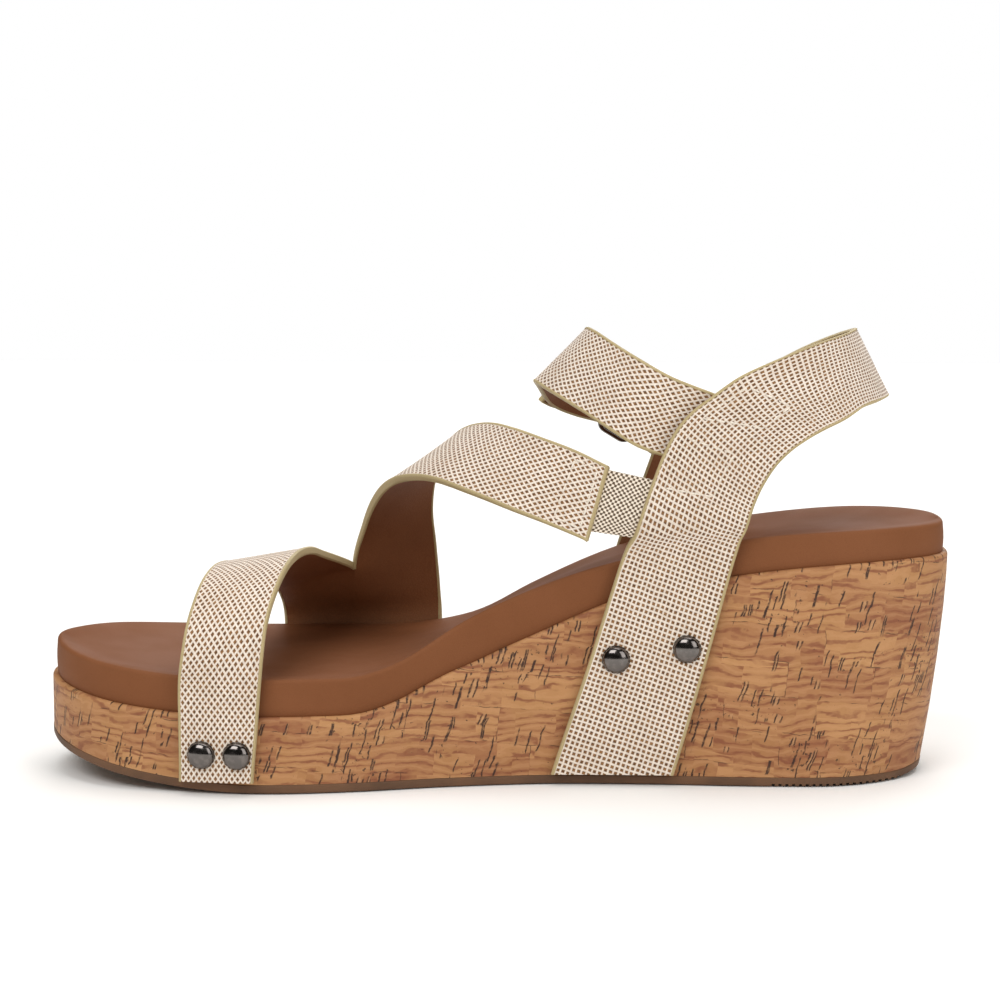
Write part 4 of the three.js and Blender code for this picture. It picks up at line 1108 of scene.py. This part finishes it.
def tape_section(a, reach, proud, middle, half_h):
    """A rounded oblong round a taped edge: how far out and how high it is, for a round the bar."""
    half_w = (reach + proud) / 2
    angle = 2 * np.pi * a
    c, n = np.cos(angle), np.sin(angle)
    full = (np.abs(c) ** 4 + np.abs(n) ** 4) ** -0.25
    return (proud - half_w) + half_w * c * full, middle + half_h * n * full


def tape_bar(name, along, place, cut):
    """A bar with closed ends: ten faces round it."""
    piece = bent_grid(name, 10, along, place, cut)
    edit(piece, merge_close, close_ends, faces_out)
    return piece


def binding(name, surface, span, edge, width, dip=None):
    """A taped edge: a small rounded bar along one edge of a strap, -1 or 1."""
    s0, s1 = span
    along = max(4, int(round(run_length(surface, s0, s1) / TAPE_STEP)))
    middle, half_h = (TAPE_LOW + TAPE_HIGH) / 2, (TAPE_HIGH - TAPE_LOW) / 2

    def place(a, b):
        s = lerp(s0, s1, b)
        t_edge = np.full(s.shape, 0.5 * edge)
        out, lift = tape_section(a, TAPE_REACH, TAPE_PROUD, middle, half_h)
        sunk = dip(s) if dip else 0.0
        return off_surface(surface, s, t_edge + edge * out / width, lift - sunk)

    return tape_bar(name, along, place, lambda a, b: np.stack([a * TAPE_ROUND, b * along * TAPE_STEP], 1))


# %% [markdown]
# ## The vamp
# The front of the upper is one Y-shaped panel: on the outer side a wide base, from which one arm goes
# over the toes and the other over the instep. The arms part at a notch.

# %% Vamp
toe_outer, toe_flat = layer("toe_arm_cloth", toe_surface, TOE_STRAP_W, (0, 1), CLOTH_LOW, CLOTH_T)
finish_piece(toe_outer, cloth, "shoe", "woven_fabric", "toe_strap_outer")
toe_inner, _ = layer("toe_arm_lining", toe_surface, TOE_STRAP_W, (0, 1), 0, LINING_T)
finish_piece(toe_inner, lining_leather, "shoe", "lining_leather", "toe_strap_lining")


def bend_over_hinge(piece):
    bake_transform(piece)


instep_outer, instep_flat = layer(
    "instep_arm_cloth", instep_surface, INSTEP_STRAP_W, (0, 1), CLOTH_LOW, CLOTH_T)
finish_piece(instep_outer, cloth, None, "woven_fabric", "instep_strap_outer", "vamp_base_outer")
instep_inner, _ = layer("instep_arm_lining", instep_surface, INSTEP_STRAP_W, (0, 1), 0, LINING_T)
finish_piece(instep_inner, lining_leather, None, "lining_leather", "instep_strap_lining", "vamp_base_lining")
for piece, under in ((instep_outer, "instep_arm_lining"), (instep_inner, "cork_band")):
    bend_over_hinge(piece)

toe_front = binding("toe_arm_binding_front", toe_surface, (0, 1), -1, width=TOE_STRAP_W)
toe_rear = binding("toe_arm_binding_rear", toe_surface, (0, toe_notch), 1, width=TOE_STRAP_W)
for piece in (toe_front, toe_rear):
    finish_piece(piece, binding_tape, "shoe", "woven_fabric")
instep_front = binding(
    "instep_arm_binding_front", instep_surface, (0, instep_notch), -1, width=INSTEP_STRAP_W)
instep_rear = binding("instep_arm_binding_rear", instep_surface, (0, 1), 1, width=INSTEP_STRAP_W)


def end_binding(name, surface, s, along_way, t_span, width):
    """The tape across the end of a strap."""
    middle, half_h = (TAPE_LOW + TAPE_HIGH) / 2, (TAPE_HIGH - TAPE_LOW) / 2

    def place(a, b):
        t = lerp(t_span[0], t_span[1], b)
        out, lift = tape_section(a, TAPE_REACH, TAPE_PROUD, middle, half_h)
        inside = off_surface(surface, np.full(len(t), s), t, lift)
        e = 2e-3
        way = surface(np.full(len(t), s), t) - surface(np.full(len(t), s - along_way * e), t)
        way /= np.linalg.norm(way, axis=-1)[:, None]
        return inside + way * out[:, None]

    return tape_bar(name, 14, place, lambda a, b: np.stack([a * TAPE_ROUND, b * width], 1))


instep_end = end_binding("instep_arm_binding_end", instep_surface, 0.0, -1, (-0.5, 0.5), INSTEP_STRAP_W)
for piece in (instep_front, instep_rear, instep_end):
    finish_piece(piece, binding_tape, None, "woven_fabric")
    bend_over_hinge(piece)

# %% [markdown]
# ## The quarters and the heel strap
# One long strap rises from the inner side, goes round the heel and comes down on the outer side. It is
# sewn from two lengths, which meet end to end behind the ankle on the outer side.

# %% Quarters
SEAM_S = 0.615
QUARTER_TURN = 10.0
quarter_parts = (("inner_quarter", (0, SEAM_S - 0.0006), "medial_quarter"),
                 ("outer_quarter", (SEAM_S + 0.0006, 1), "lateral_quarter"))
for name, span, node in quarter_parts:
    outer, flat = layer(
        name + "_cloth", quarter_surface, QUARTER_W, span, CLOTH_LOW, CLOTH_T, turn=QUARTER_TURN)
    finish_piece(outer, cloth, "shoe", "woven_fabric", node + "_outer")
    inner, _ = layer(name + "_lining", quarter_surface, QUARTER_W, span, 0, LINING_T)
    finish_piece(inner, lining_leather, "shoe", "lining_leather", node + "_lining")
for side, name in ((-1, "front"), (1, "rear")):
    tape = binding("quarter_binding_" + name, quarter_surface, (0, 1), side, width=QUARTER_W)
    finish_piece(tape, binding_tape, "shoe", "woven_fabric")

# %% [markdown]
# ## The ankle strap
# It is sewn under the front edge of the inner quarter, goes over the instep and ends at the ring.

# %% Ankle strap
TUCK = 2.5
ANKLE_SPAN = (0.02, 0.975)


def ankle_dip(s):
    return TUCK * (1 - smooth(0.1, 0.26, np.asarray(s, float)))


ankle_outer, ankle_flat = layer(
    "ankle_strap_cloth", ankle_surface, ANKLE_STRAP_W, ANKLE_SPAN, CLOTH_LOW, CLOTH_T, dip=ankle_dip)
finish_piece(ankle_outer, cloth, "shoe", "woven_fabric", "ankle_strap_outer")
ankle_inner, _ = layer(
    "ankle_strap_inside", ankle_surface, ANKLE_STRAP_W, ANKLE_SPAN, 0, LINING_T, dip=ankle_dip)
finish_piece(ankle_inner, lining_leather, "shoe", "lining_leather", "ankle_strap_lining")
for side, name in ((-1, "low"), (1, "high")):
    tape = binding(
        "ankle_binding_" + name, ankle_surface, ANKLE_SPAN, side, width=ANKLE_STRAP_W, dip=ankle_dip)
    finish_piece(tape, binding_tape, "shoe", "woven_fabric")

# %% [markdown]
# ## The elastic gore
# A short piece of woven elastic joins the end of the instep arm to the quarter and lets the arm give.
# It is brown rubber thread under cream yarn, so it shows as dark and light checks of less than a
# millimetre. Its ends lie between the two layers of the arm and of the quarter.

# %% Elastic
ELASTIC_PITCH = 1.4 * MM


def elastic_material():
    material, tree, shader = new_material("woven_elastic")
    uv, waves = yarn_pattern(tree, ELASTIC_PITCH, 0.3, 0.0)
    product = add(tree, "Math", {0: waves[0], 1: waves[1]}, operation="MULTIPLY").outputs[0]
    fuzz = add(tree, "TexNoise", {"Vector": uv, "Scale": 1.5 / ELASTIC_PITCH, "Detail": 2.0}).outputs[0]
    shown = add(tree, "Math", {0: fuzz, 1: 0.9, 2: product}, operation="MULTIPLY_ADD").outputs[0]
    cover = map_range(tree, shown, 0.25, 0.6)
    tree.links.new(mix(tree, cover, colour("#5a4632"), colour("#e9dccb")), shader.inputs["Base Color"])
    bump = add(tree, "Bump", {"Height": cover, "Strength": 0.5, "Distance": 0.15 * MM})
    tree.links.new(bump.outputs[0], shader.inputs["Normal"])
    shader.inputs["Roughness"].default_value = 0.85
    shader.inputs["Sheen Weight"].default_value = 0.1
    return material


elastic = elastic_material()
GORE_T = 0.7
GORE_END_S, GORE_END_T = 0.125, -0.35
GORE_DEPTH, GORE_END_DEPTH = 0.5, 0.55
GORE_SEARCH = (0.05, 0.3, 900)
gore_start = np.array(INSTEP_ROUTE[0][0])
gore_across = np.array(INSTEP_ROUTE[0][1])
gore_across = gore_across / np.linalg.norm(gore_across)
gore_end = quarter_surface(np.array([GORE_END_S]), np.array([GORE_END_T]))[0]
gore_way = (gore_end - gore_start) / np.linalg.norm(gore_end - gore_start)
gore_out = np.cross(gore_way, gore_across)
gore_out /= np.linalg.norm(gore_out)
if gore_out[1] > 0:
    gore_out = -gore_out
GORE_TUCK_S = 0.025
GORE_EDGE_T = -0.44
GORE_ROWS = 9
gore_rows = np.linspace(0, 1, GORE_ROWS)
gore_first = off_surface(
    instep_surface, np.full(GORE_ROWS, GORE_TUCK_S), (gore_rows - 0.5) * GORE_W / INSTEP_STRAP_W, GORE_DEPTH)
quarter_edge = off_surface(quarter_surface, np.linspace(*GORE_SEARCH), GORE_EDGE_T, GORE_END_DEPTH)
gore_last = []
for spot in gore_first:
    ahead = quarter_edge - spot
    off_line = ahead - np.outer(ahead @ gore_way, gore_way)
    gore_last.append(quarter_edge[np.linalg.norm(off_line, axis=1).argmin()])
gore_last = np.array(gore_last)
gore_long = float(np.linalg.norm(gore_last - gore_first, axis=1).mean())


def gore_place(a, b):
    first, last = (np.stack([np.interp(a, gore_rows, row[:, k]) for k in range(3)], 1)
                   for row in (gore_first, gore_last))
    return lerp(first, last, b[:, None])


gore = bent_grid("elastic_gusset", 8, 14, gore_place,
                 lambda a, b: np.stack([a * GORE_W, b * gore_long], 1))
if gore.data.polygons[0].normal.dot(Vector(gore_out)) < 0:
    edit(gore, bpy.ops.mesh.flip_normals)
apply_modifier(gore, "SOLIDIFY", thickness=GORE_T * MM, offset=1.0, use_rim=True)
finish_piece(gore, elastic, None, "elastic", "elastic_gore")
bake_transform(gore)
print("elastic: %.0f by %.0f mm" % (GORE_W, gore_long))

# %% [markdown]
# ## The ring and what goes round it
# On the outer side the ankle strap goes round the front bar of a gunmetal ring and folds back on
# itself as a tab, held by hook tape. A keeper of the same cloth goes round the rear bar and is sewn to
# the outer quarter. The ring's frame comes from the end of the ankle strap.

# %% Ring frame
RING_WIRE, RING_CLEAR, RING_PITCH = 2.0, 0.5, 10.0
CAD_STRAP_T = 2.1
BIGHT_R = RING_WIRE / 2 + GAP + 0.1


def one(surface, s, t):
    return surface(np.array([float(s)]), np.array([float(t)]))[0]


def unit(v):
    return v / np.linalg.norm(v)


tip = one(ankle_surface, 1, 0)
ring_along = unit(tip - one(ankle_surface, 0.995, 0))
ring_bars = unit(one(ankle_surface, 1, 0.5) - one(ankle_surface, 1, -0.5))
ring_out = unit(np.cross(ring_bars, ring_along))
ring_along = np.cross(ring_out, ring_bars)
ring_front = tip + ring_out * (CAD_STRAP_T + GAP + RING_WIRE / 2)
ring_rear = ring_front + ring_along * RING_PITCH
print("ring bars at", np.round(ring_front, 1), np.round(ring_rear, 1))

# %% [markdown]
# ## Gunmetal
# Zinc alloy, die cast and plated in black nickel: a dark, slightly warm mirror with fine rubbing
# marks. It is a metal, so it keeps the default index of refraction.

# %% Gunmetal and rivets
def gunmetal_material():
    material, tree, shader = new_material("black_nickel_plate")
    spot = add(tree, "TexCoord").outputs["Object"]
    wear = add(tree, "TexNoise", {"Vector": spot, "Scale": 1 / (1.5 * MM), "Detail": 3.0}).outputs[0]
    tree.links.new(mix(tree, map_range(tree, wear, 0.4, 0.75), colour("#6a6562"), colour("#7b7571")),
                   shader.inputs["Base Color"])
    tree.links.new(map_range(tree, wear, 0.35, 0.75, 0.12, 0.22), shader.inputs["Roughness"])
    shader.inputs["Metallic"].default_value = 1.0
    return material


gunmetal = gunmetal_material()


def swept_loop(name, path, radius):
    """A round bar along a closed path of points with their outward way."""
    points = np.array(path, float)
    count = len(points)

    def place(a, b):
        i = np.rint(b * count).astype(int) % count
        along = points[(i + 1) % count] - points[i - 1]
        along /= np.linalg.norm(along, axis=1)[:, None]
        side = np.cross(along, ring_out)
        side /= np.linalg.norm(side, axis=1)[:, None]
        angle = 2 * np.pi * a
        return (points[i] + side * (radius * np.cos(angle))[:, None]
                + ring_out * (radius * np.sin(angle))[:, None])

    piece = bent_grid(name, 14, count, place)
    edit(piece, merge_close, faces_out)
    return piece


half_long = TAB_W / 2 + RING_CLEAR + RING_WIRE / 2
half_short = RING_PITCH / 2
CORNER_R = 2.4
ring_path = []
for cx, cy, start in ((1, 1, 0), (-1, 1, 90), (-1, -1, 180), (1, -1, 270)):
    for step in range(9):
        angle = math.radians(start + 90 * step / 8)
        ring_path.append((cx * (half_long - CORNER_R) + CORNER_R * math.cos(angle),
                          cy * (half_short - CORNER_R) + CORNER_R * math.sin(angle)))
rounded = []
for p, q in zip(ring_path, ring_path[1:] + ring_path[:1]):
    pieces = max(1, int(math.dist(p, q) / 1.5))
    rounded += [(lerp(p[0], q[0], k / pieces), lerp(p[1], q[1], k / pieces)) for k in range(pieces)]
ring_middle = (ring_front + ring_rear) / 2
ring_spots = [ring_middle + ring_bars * a + ring_along * b for a, b in rounded]
ring_loop = swept_loop("buckle_ring", ring_spots, RING_WIRE / 2)
finish_piece(ring_loop, gunmetal, "ring", "gunmetal", "closure_ring", degrees=60)

# %% [markdown]
# ## Rivets
# Ten round-headed rivets pin the straps to the wedge. The head is a dome over a thin collar whose edge
# is cut in small teeth. One is modelled, by rolling its profile round its axis, and copied.

# %% Rivets
RIVET_R, COLLAR_R, HEAD_H, SHANK_R, SHANK_L = 3.55, 3.8, 2.3, 0.9, 6.0
TEETH, TOOTH_DEPTH = 16, 0.16
DOME_Z = 0.42
RIVET_Z, RIVET_SPREAD = 10.7, 9.2
QUARTER_RIVET_Z, QUARTER_RIVET_SPREAD = 35.6, 18.8


def rivet_frame(x, z, side):
    slope = float(side_y(x + 2, side) - side_y(x - 2, side)) / 4
    out = unit(np.array([-slope, 1, 0]) * side)
    return np.array([x, float(side_y(x, side)), z]) + out * (WALL_GAP + STRAP_TOP), out


def pair(label, x, spread, z, lift, side):
    return [("rivet_%s_%d" % (label, k + 1), *rivet_frame(x + end * spread / 2, z + end * lift / 2, side))
            for k, end in enumerate((-1, 1))]


rivet_places = [
    *pair("toe_medial", -0.296 * LENGTH + 1, RIVET_SPREAD, RIVET_Z, 0, -1),
    *pair("quarter_medial", 0.168 * LENGTH, QUARTER_RIVET_SPREAD, QUARTER_RIVET_Z, 3, -1),
    *pair("toe_lateral", -0.218 * LENGTH, RIVET_SPREAD, RIVET_Z, 0, 1),
    *pair("vamp_lateral", -0.126 * LENGTH, RIVET_SPREAD, RIVET_Z, 0, 1),
    *pair("quarter_lateral", 0.168 * LENGTH, QUARTER_RIVET_SPREAD, QUARTER_RIVET_Z, 3, 1),
]
profile = [(0, -SHANK_L), (SHANK_R * 0.7, -SHANK_L), (SHANK_R, -SHANK_L + 0.5), (SHANK_R, -0.05),
           (COLLAR_R * 0.98, -0.05), (COLLAR_R, 0.1), (COLLAR_R, 0.32), (COLLAR_R * 0.97, 0.45),
           (RIVET_R + 0.08, DOME_Z)]
for step in range(13):
    angle = math.pi / 2 * step / 12
    profile.append((RIVET_R * math.cos(angle), DOME_Z + (HEAD_H - DOME_Z) * math.sin(angle)))
profile = np.array(profile)


def rivet_place(a, b):
    i = np.rint(b * (len(profile) - 1)).astype(int)
    r, z = profile[i, 0].copy(), profile[i, 1]
    collar = r > RIVET_R + 0.1
    tooth = 0.5 + 0.5 * np.cos(2 * np.pi * a * TEETH)
    r = np.where(collar, r - TOOTH_DEPTH * tooth ** 2, r)
    angle = 2 * np.pi * a
    return np.stack([r * np.cos(angle), r * np.sin(angle), z], 1)


model_rivet = bent_grid("model_rivet", 6 * TEETH, len(profile) - 1, rivet_place)
edit(model_rivet, merge_close, faces_out)
for name, spot, out in rivet_places:
    only(model_rivet)
    bpy.ops.object.duplicate()
    copy = bpy.context.object
    turn = Vector((0, 0, 1)).rotation_difference(Vector(out)).to_matrix().to_4x4()
    turn.translation = Vector(spot * MM)
    copy.data.transform(turn)
    copy.name = copy.data.name = name + "_head"
    finish_piece(copy, gunmetal, "shoe", "gunmetal", name, degrees=50)
bpy.data.objects.remove(model_rivet)
print("rivets:", len(rivet_places))

# %% [markdown]
# ## Tab, hook tape and keeper
# Each is a strip that follows a row of sections: a place, the way out and the way its width points.
# The sections first go round a bar of the ring and then run along the strap below.

# %% Strips
ANKLE_TAIL = np.linalg.norm(one(ankle_surface, 1, 0) - one(ankle_surface, 0.9, 0)) / 0.1
TAB_T, TAB_LENGTH, TAB_DROP = 1.6, 15.0, 2.5
PATCH_T, PATCH_LENGTH, PATCH_MARGIN = 0.7, 10.0, 1.5
HOOK_W, LOOP_W = TAB_W - 1, TAB_W - 3
KEEPER_T, KEEPER_W = 1.2, 15.0


def round_bar(centre, ahead, low, high, count):
    made = []
    for angle in np.linspace(low, high, count + 1):
        out = -ring_out * math.cos(angle) + ahead * math.sin(angle)
        made.append((centre + out * BIGHT_R, out, ring_bars))
    return made


def over_strap(distance, drop, lift):
    s = 1 - distance / ANKLE_TAIL
    spot = one(ankle_surface, s, 0)
    along = spot - one(ankle_surface, s - 1e-3, 0)
    wide = unit(one(ankle_surface, s, 0.5) - one(ankle_surface, s, -0.5))
    out = unit(np.cross(wide, along))
    return spot - wide * drop + out * lift, out, wide


def strip(name, sections, low, thick, width, turn=45.0, across=6, step=0.8):
    spots, outs, wides = (np.array([section[k] for section in sections]) for k in range(3))
    gaps = np.linalg.norm(np.diff(spots, axis=0), axis=1)
    travel = np.concatenate([[0], np.cumsum(gaps)])
    long = travel[-1]
    c, n = math.cos(math.radians(turn)), math.sin(math.radians(turn))
    curves = [curve_through(v, even=True) for v in (spots, outs, wides)]
    table = np.linspace(0, 1, len(sections))

    def at(b):
        s = np.interp(b * long, travel, table)
        spot, out, wide = (curve(s) for curve in curves)
        return spot, out / np.linalg.norm(out, axis=1)[:, None], wide / np.linalg.norm(wide, axis=1)[:, None]

    def place(a, b):
        spot, out, wide = at(b)
        return spot + wide * ((a - 0.5) * width)[:, None] + out * low

    def cut(a, b):
        u, v = (a - 0.5) * width, b * long
        return np.stack([c * u - n * v, n * u + c * v], 1)

    piece = bent_grid(name, across, max(3, int(long / step)), place, cut)
    middle = len(piece.data.polygons) // 2
    centre = np.array(piece.data.polygons[middle].center) / MM
    near = outs[np.linalg.norm(spots - centre, axis=1).argmin()]
    if piece.data.polygons[middle].normal.dot(Vector(near)) < 0:
        edit(piece, bpy.ops.mesh.flip_normals)
    apply_modifier(piece, "SOLIDIFY", thickness=thick * MM, offset=1.0, use_rim=True)
    return piece, (width * MM, long * MM), (at, long)


def strip_binding(name, shape, thick, width, edge):
    """The tape along one edge of a strip, -1 or 1."""
    at, long = shape

    def place(a, b):
        spot, out, wide = at(b)
        aside, lift = tape_section(a, SLIM_REACH, SLIM_PROUD, thick / 2, thick / 2 + TAPE_OVER)
        return spot + wide * (edge * (width / 2 + aside))[:, None] + out * lift[:, None]

    return tape_bar(name, max(4, int(long)), place, lambda a, b: np.stack([a * SLIM_ROUND, b * long], 1))


tab_lift = CAD_STRAP_T + GAP + RING_WIRE / 2 + BIGHT_R
tab_sections = round_bar(ring_front, ring_along, 0, math.pi, 12)


def drop_at(distance):
    return TAB_DROP * float(smooth(2, TAB_LENGTH, distance))


for d in TAB_LENGTH * np.arange(1, 7) / 6:
    tab_sections.append(over_strap(d, drop_at(d), tab_lift))
TAB_INNER_T = 0.65
tab_inside, tab_flat, tab_shape = strip("strap_tab_lining", tab_sections, 0, TAB_INNER_T, TAB_W)
finish_piece(tab_inside, lining_leather, "tab", "woven_fabric")
tab, _, _ = strip("strap_tab", tab_sections, TAB_INNER_T + 0.05, TAB_T - TAB_INNER_T - 0.05, TAB_W)
finish_piece(tab, cloth, "tab", "woven_fabric", "closure_tab")
for edge, name in ((-1, "low"), (1, "high")):
    tape = strip_binding("tab_binding_" + name, tab_shape, TAB_T, TAB_W, edge)
    finish_piece(tape, binding_tape, "tab", "woven_fabric")


def strip_end_binding(name, shape, thick, width):
    """The tape across the free end of a strip, a little wider than the strip."""
    at, long = shape
    (last, out, wide), (before, _, _) = at(np.array([1.0])), at(np.array([1 - 0.5 / long]))
    way = unit(last[0] - before[0])

    def place(a, b):
        ahead, lift = tape_section(a, TAPE_REACH, TAPE_PROUD, thick / 2, thick / 2 + TAPE_OVER)
        return (last[0] + np.outer((b - 0.5) * (width + 0.4), wide[0]) + np.outer(ahead, way)
                + np.outer(lift, out[0]))

    return tape_bar(name, 12, place, lambda a, b: np.stack([a * SLIM_ROUND, b * width], 1))


tab_end = strip_end_binding("tab_binding_end", tab_shape, TAB_T, TAB_W)
finish_piece(tab_end, binding_tape, "tab", "woven_fabric")


def tape_material(name, base, light, size):
    """Nylon hook or loop tape: tiny monofilament hooks, drawn as coarse as the render can show."""
    material, tree, shader = new_material(name)
    uv = add(tree, "UVMap").outputs["UV"]
    cells = add(tree, "TexVoronoi", {"Vector": uv, "Scale": 1 / size}).outputs[0]
    tree.links.new(mix(tree, map_range(tree, cells, 0.1, 0.6), colour(light), colour(base)),
                   shader.inputs["Base Color"])
    bump = add(tree, "Bump", {"Height": cells, "Strength": 0.8, "Distance": -0.3 * MM})
    tree.links.new(bump.outputs[0], shader.inputs["Normal"])
    shader.inputs["Roughness"].default_value = 0.8
    shader.inputs["Sheen Weight"].default_value = 0.3
    return material


hooks = tape_material("nylon_hook_tape", "#7c431c", "#c98148", 0.6 * MM)
loops = tape_material("nylon_loop_tape", "#5d3a20", "#a06f45", 0.9 * MM)
for name, node, slot, material, has_drop, low, body, width in (
        ("hook_tape_patch", "hook_patch", "hook_tape", hooks, True, tab_lift - GAP - PATCH_T, "tab", HOOK_W),
        ("loop_tape_patch", "loop_patch", "loop_tape", loops, False, CAD_STRAP_T + GAP, "shoe", LOOP_W)):
    places = [over_strap(d, drop_at(d) if has_drop else 0, 0)
              for d in TAB_LENGTH - PATCH_MARGIN - PATCH_LENGTH * np.arange(6) / 5]
    patch, patch_flat, _ = strip(name, places, low, PATCH_T, width, turn=0, across=16, step=1.0)
    finish_piece(patch, material, body, slot, node)

keeper_sections = round_bar(ring_rear, -ring_along, -0.5, math.pi + 0.75, 14)
KEEPER_S, KEEPER_FORWARD, KEEPER_BACK = 0.79, 14.5, 1.5
for k in range(6):
    t = lerp(-KEEPER_FORWARD, KEEPER_BACK, k / 5) / QUARTER_W
    spot = one(quarter_surface, KEEPER_S, t)
    along = one(quarter_surface, KEEPER_S + 1e-3, t) - one(quarter_surface, KEEPER_S - 1e-3, t)
    wide = one(quarter_surface, KEEPER_S, t + 1e-3) - one(quarter_surface, KEEPER_S, t - 1e-3)
    out = unit(np.cross(wide, along))
    keeper_sections.append((spot + out * (CAD_STRAP_T + 3 * GAP), out, ring_bars))
keeper, keeper_flat, keeper_shape = strip("ring_keeper_cloth", keeper_sections, 0, KEEPER_T, KEEPER_W)
finish_piece(keeper, cloth, "shoe", "woven_fabric", "ring_keeper")
for edge, name in ((-1, "low"), (1, "high")):
    tape = strip_binding("keeper_binding_" + name, keeper_shape, KEEPER_T, KEEPER_W, edge)
    finish_piece(tape, binding_tape, "shoe", "woven_fabric")

# %% [markdown]
# ## Stitching
# The ankle strap, the elastic and the end of the instep arm are sewn with cream thread in small boxes of
# stitches, and the heel seam with two straight rows.
# One stitch is a small pill, modelled once and copied along lines on the strap, half sunk in it.

# %% Stitches
STITCH_L, STITCH_GAP, THREAD_R = 2.3, 0.8, 0.28


def thread_material():
    material, tree, shader = new_material("spun_polyester_thread")
    spot = add(tree, "TexCoord").outputs["Object"]
    twist = add(tree, "TexNoise", {"Vector": spot, "Scale": 1 / (0.4 * MM), "Detail": 2.0}).outputs[0]
    tree.links.new(mix(tree, map_range(tree, twist, 0.35, 0.65), colour("#dccfbe"), colour("#f0e7db")),
                   shader.inputs["Base Color"])
    shader.inputs["Roughness"].default_value = 0.75
    return material


thread = thread_material()


def stitch_row(name, surface, points, lift, blended=False):
    """Stitches along a line of (s, t) corners on a ribbon."""
    marks = []
    for (s0, t0), (s1, t1) in zip(points, points[1:]):
        k = np.linspace(0, 1, 200)
        s, t = lerp(s0, s1, k), lerp(t0, t1, k)
        spots = off_surface(surface, s, t, lift)
        travel = np.concatenate([[0], np.cumsum(np.linalg.norm(np.diff(spots, axis=0), axis=1))])
        count = max(1, int(travel[-1] / (STITCH_L + STITCH_GAP)))
        for i in range(count):
            ends = [(i + share) * travel[-1] / count for share in (0.13, 0.87)]
            marks.append(
                [np.array([np.interp(e, travel, spots[:, axis]) for axis in range(3)]) for e in ends])
    start_clean()
    made = []
    for head, tail in marks:
        way = tail - head
        bpy.ops.mesh.primitive_uv_sphere_add(segments=6, ring_count=4, radius=THREAD_R * MM)
        pill = bpy.context.object
        co = np.empty(len(pill.data.vertices) * 3, np.float32)
        pill.data.vertices.foreach_get("co", co)
        co = co.reshape(-1, 3)
        co[:, 2] += np.sign(co[:, 2]) * (np.linalg.norm(way) / 2 - THREAD_R) * MM
        turn = Vector((0, 0, 1)).rotation_difference(Vector(way)).to_matrix()
        co = co @ np.array(turn).T + (head + tail) / 2 * MM
        pill.data.vertices.foreach_set("co", co.astype(np.float32).ravel())
        made.append(pill)
    piece = join(name, *made)
    finish_piece(piece, thread, None if blended else "shoe", "woven_fabric", degrees=80)
    if blended:
        bend_over_hinge(piece)
    return piece


seat = STRAP_TOP + 0.05
stitch_row("ankle_joint_stitches", quarter_surface,
           [(0.262, -0.38), (0.34, -0.36), (0.345, 0.08), (0.285, 0.12), (0.262, -0.38)], seat)
stitch_row("elastic_joint_stitches", quarter_surface,
           [(0.225, -0.38), (0.225, 0.1), (0.158, 0.1), (0.158, -0.38), (0.225, -0.38)], seat)
stitch_row("instep_end_stitches", instep_surface,
           [(0.018, -0.4), (0.018, 0.4), (0.07, 0.4), (0.07, -0.4), (0.018, -0.4)], seat, blended=True)
for name, s in (("heel_seam_stitches", SEAM_S - 0.004), ("heel_seam_stitches_second", SEAM_S + 0.004)):
    stitch_row(name, quarter_surface, [(s, -0.42), (s, 0.42)], seat)
print("stitches:", sum(len(o.data.polygons) // 24 for o in scene.objects if "stitches" in o.name))

# %% [markdown]
# ## What stays inside
# The foam wedge and the insole board are hidden by the cork and the footbed. They keep their packed
# shapes and get the look of what they are: pressed foam, and board of pressed fibre.

# %% Inner layers
def pressed_material(name, base, light, grain):
    material, tree, shader = new_material(name)
    spot = add(tree, "TexCoord").outputs["Object"]
    flecks = add(tree, "TexVoronoi", {"Vector": spot, "Scale": 1 / grain}).outputs[0]
    tree.links.new(mix(tree, map_range(tree, flecks, 0.2, 0.7), colour(base), colour(light)),
                   shader.inputs["Base Color"])
    bump = add(tree, "Bump", {"Height": flecks, "Strength": 0.3, "Distance": 0.1 * MM})
    tree.links.new(bump.outputs[0], shader.inputs["Normal"])
    shader.inputs["Roughness"].default_value = 0.9
    return material


inner_looks = {
    "wedge_core": pressed_material("pressed_foam", "#b9a58a", "#cbb99f", 1.2 * MM),
    "insole_board": pressed_material("pressed_fibre_board", "#8a7a66", "#a08f78", 0.8 * MM),
}
for node, look in inner_looks.items():
    frame["nodes"][node].data.materials.clear()
    frame["nodes"][node].data.materials.append(look)
    print(node, "looks like", look.name)
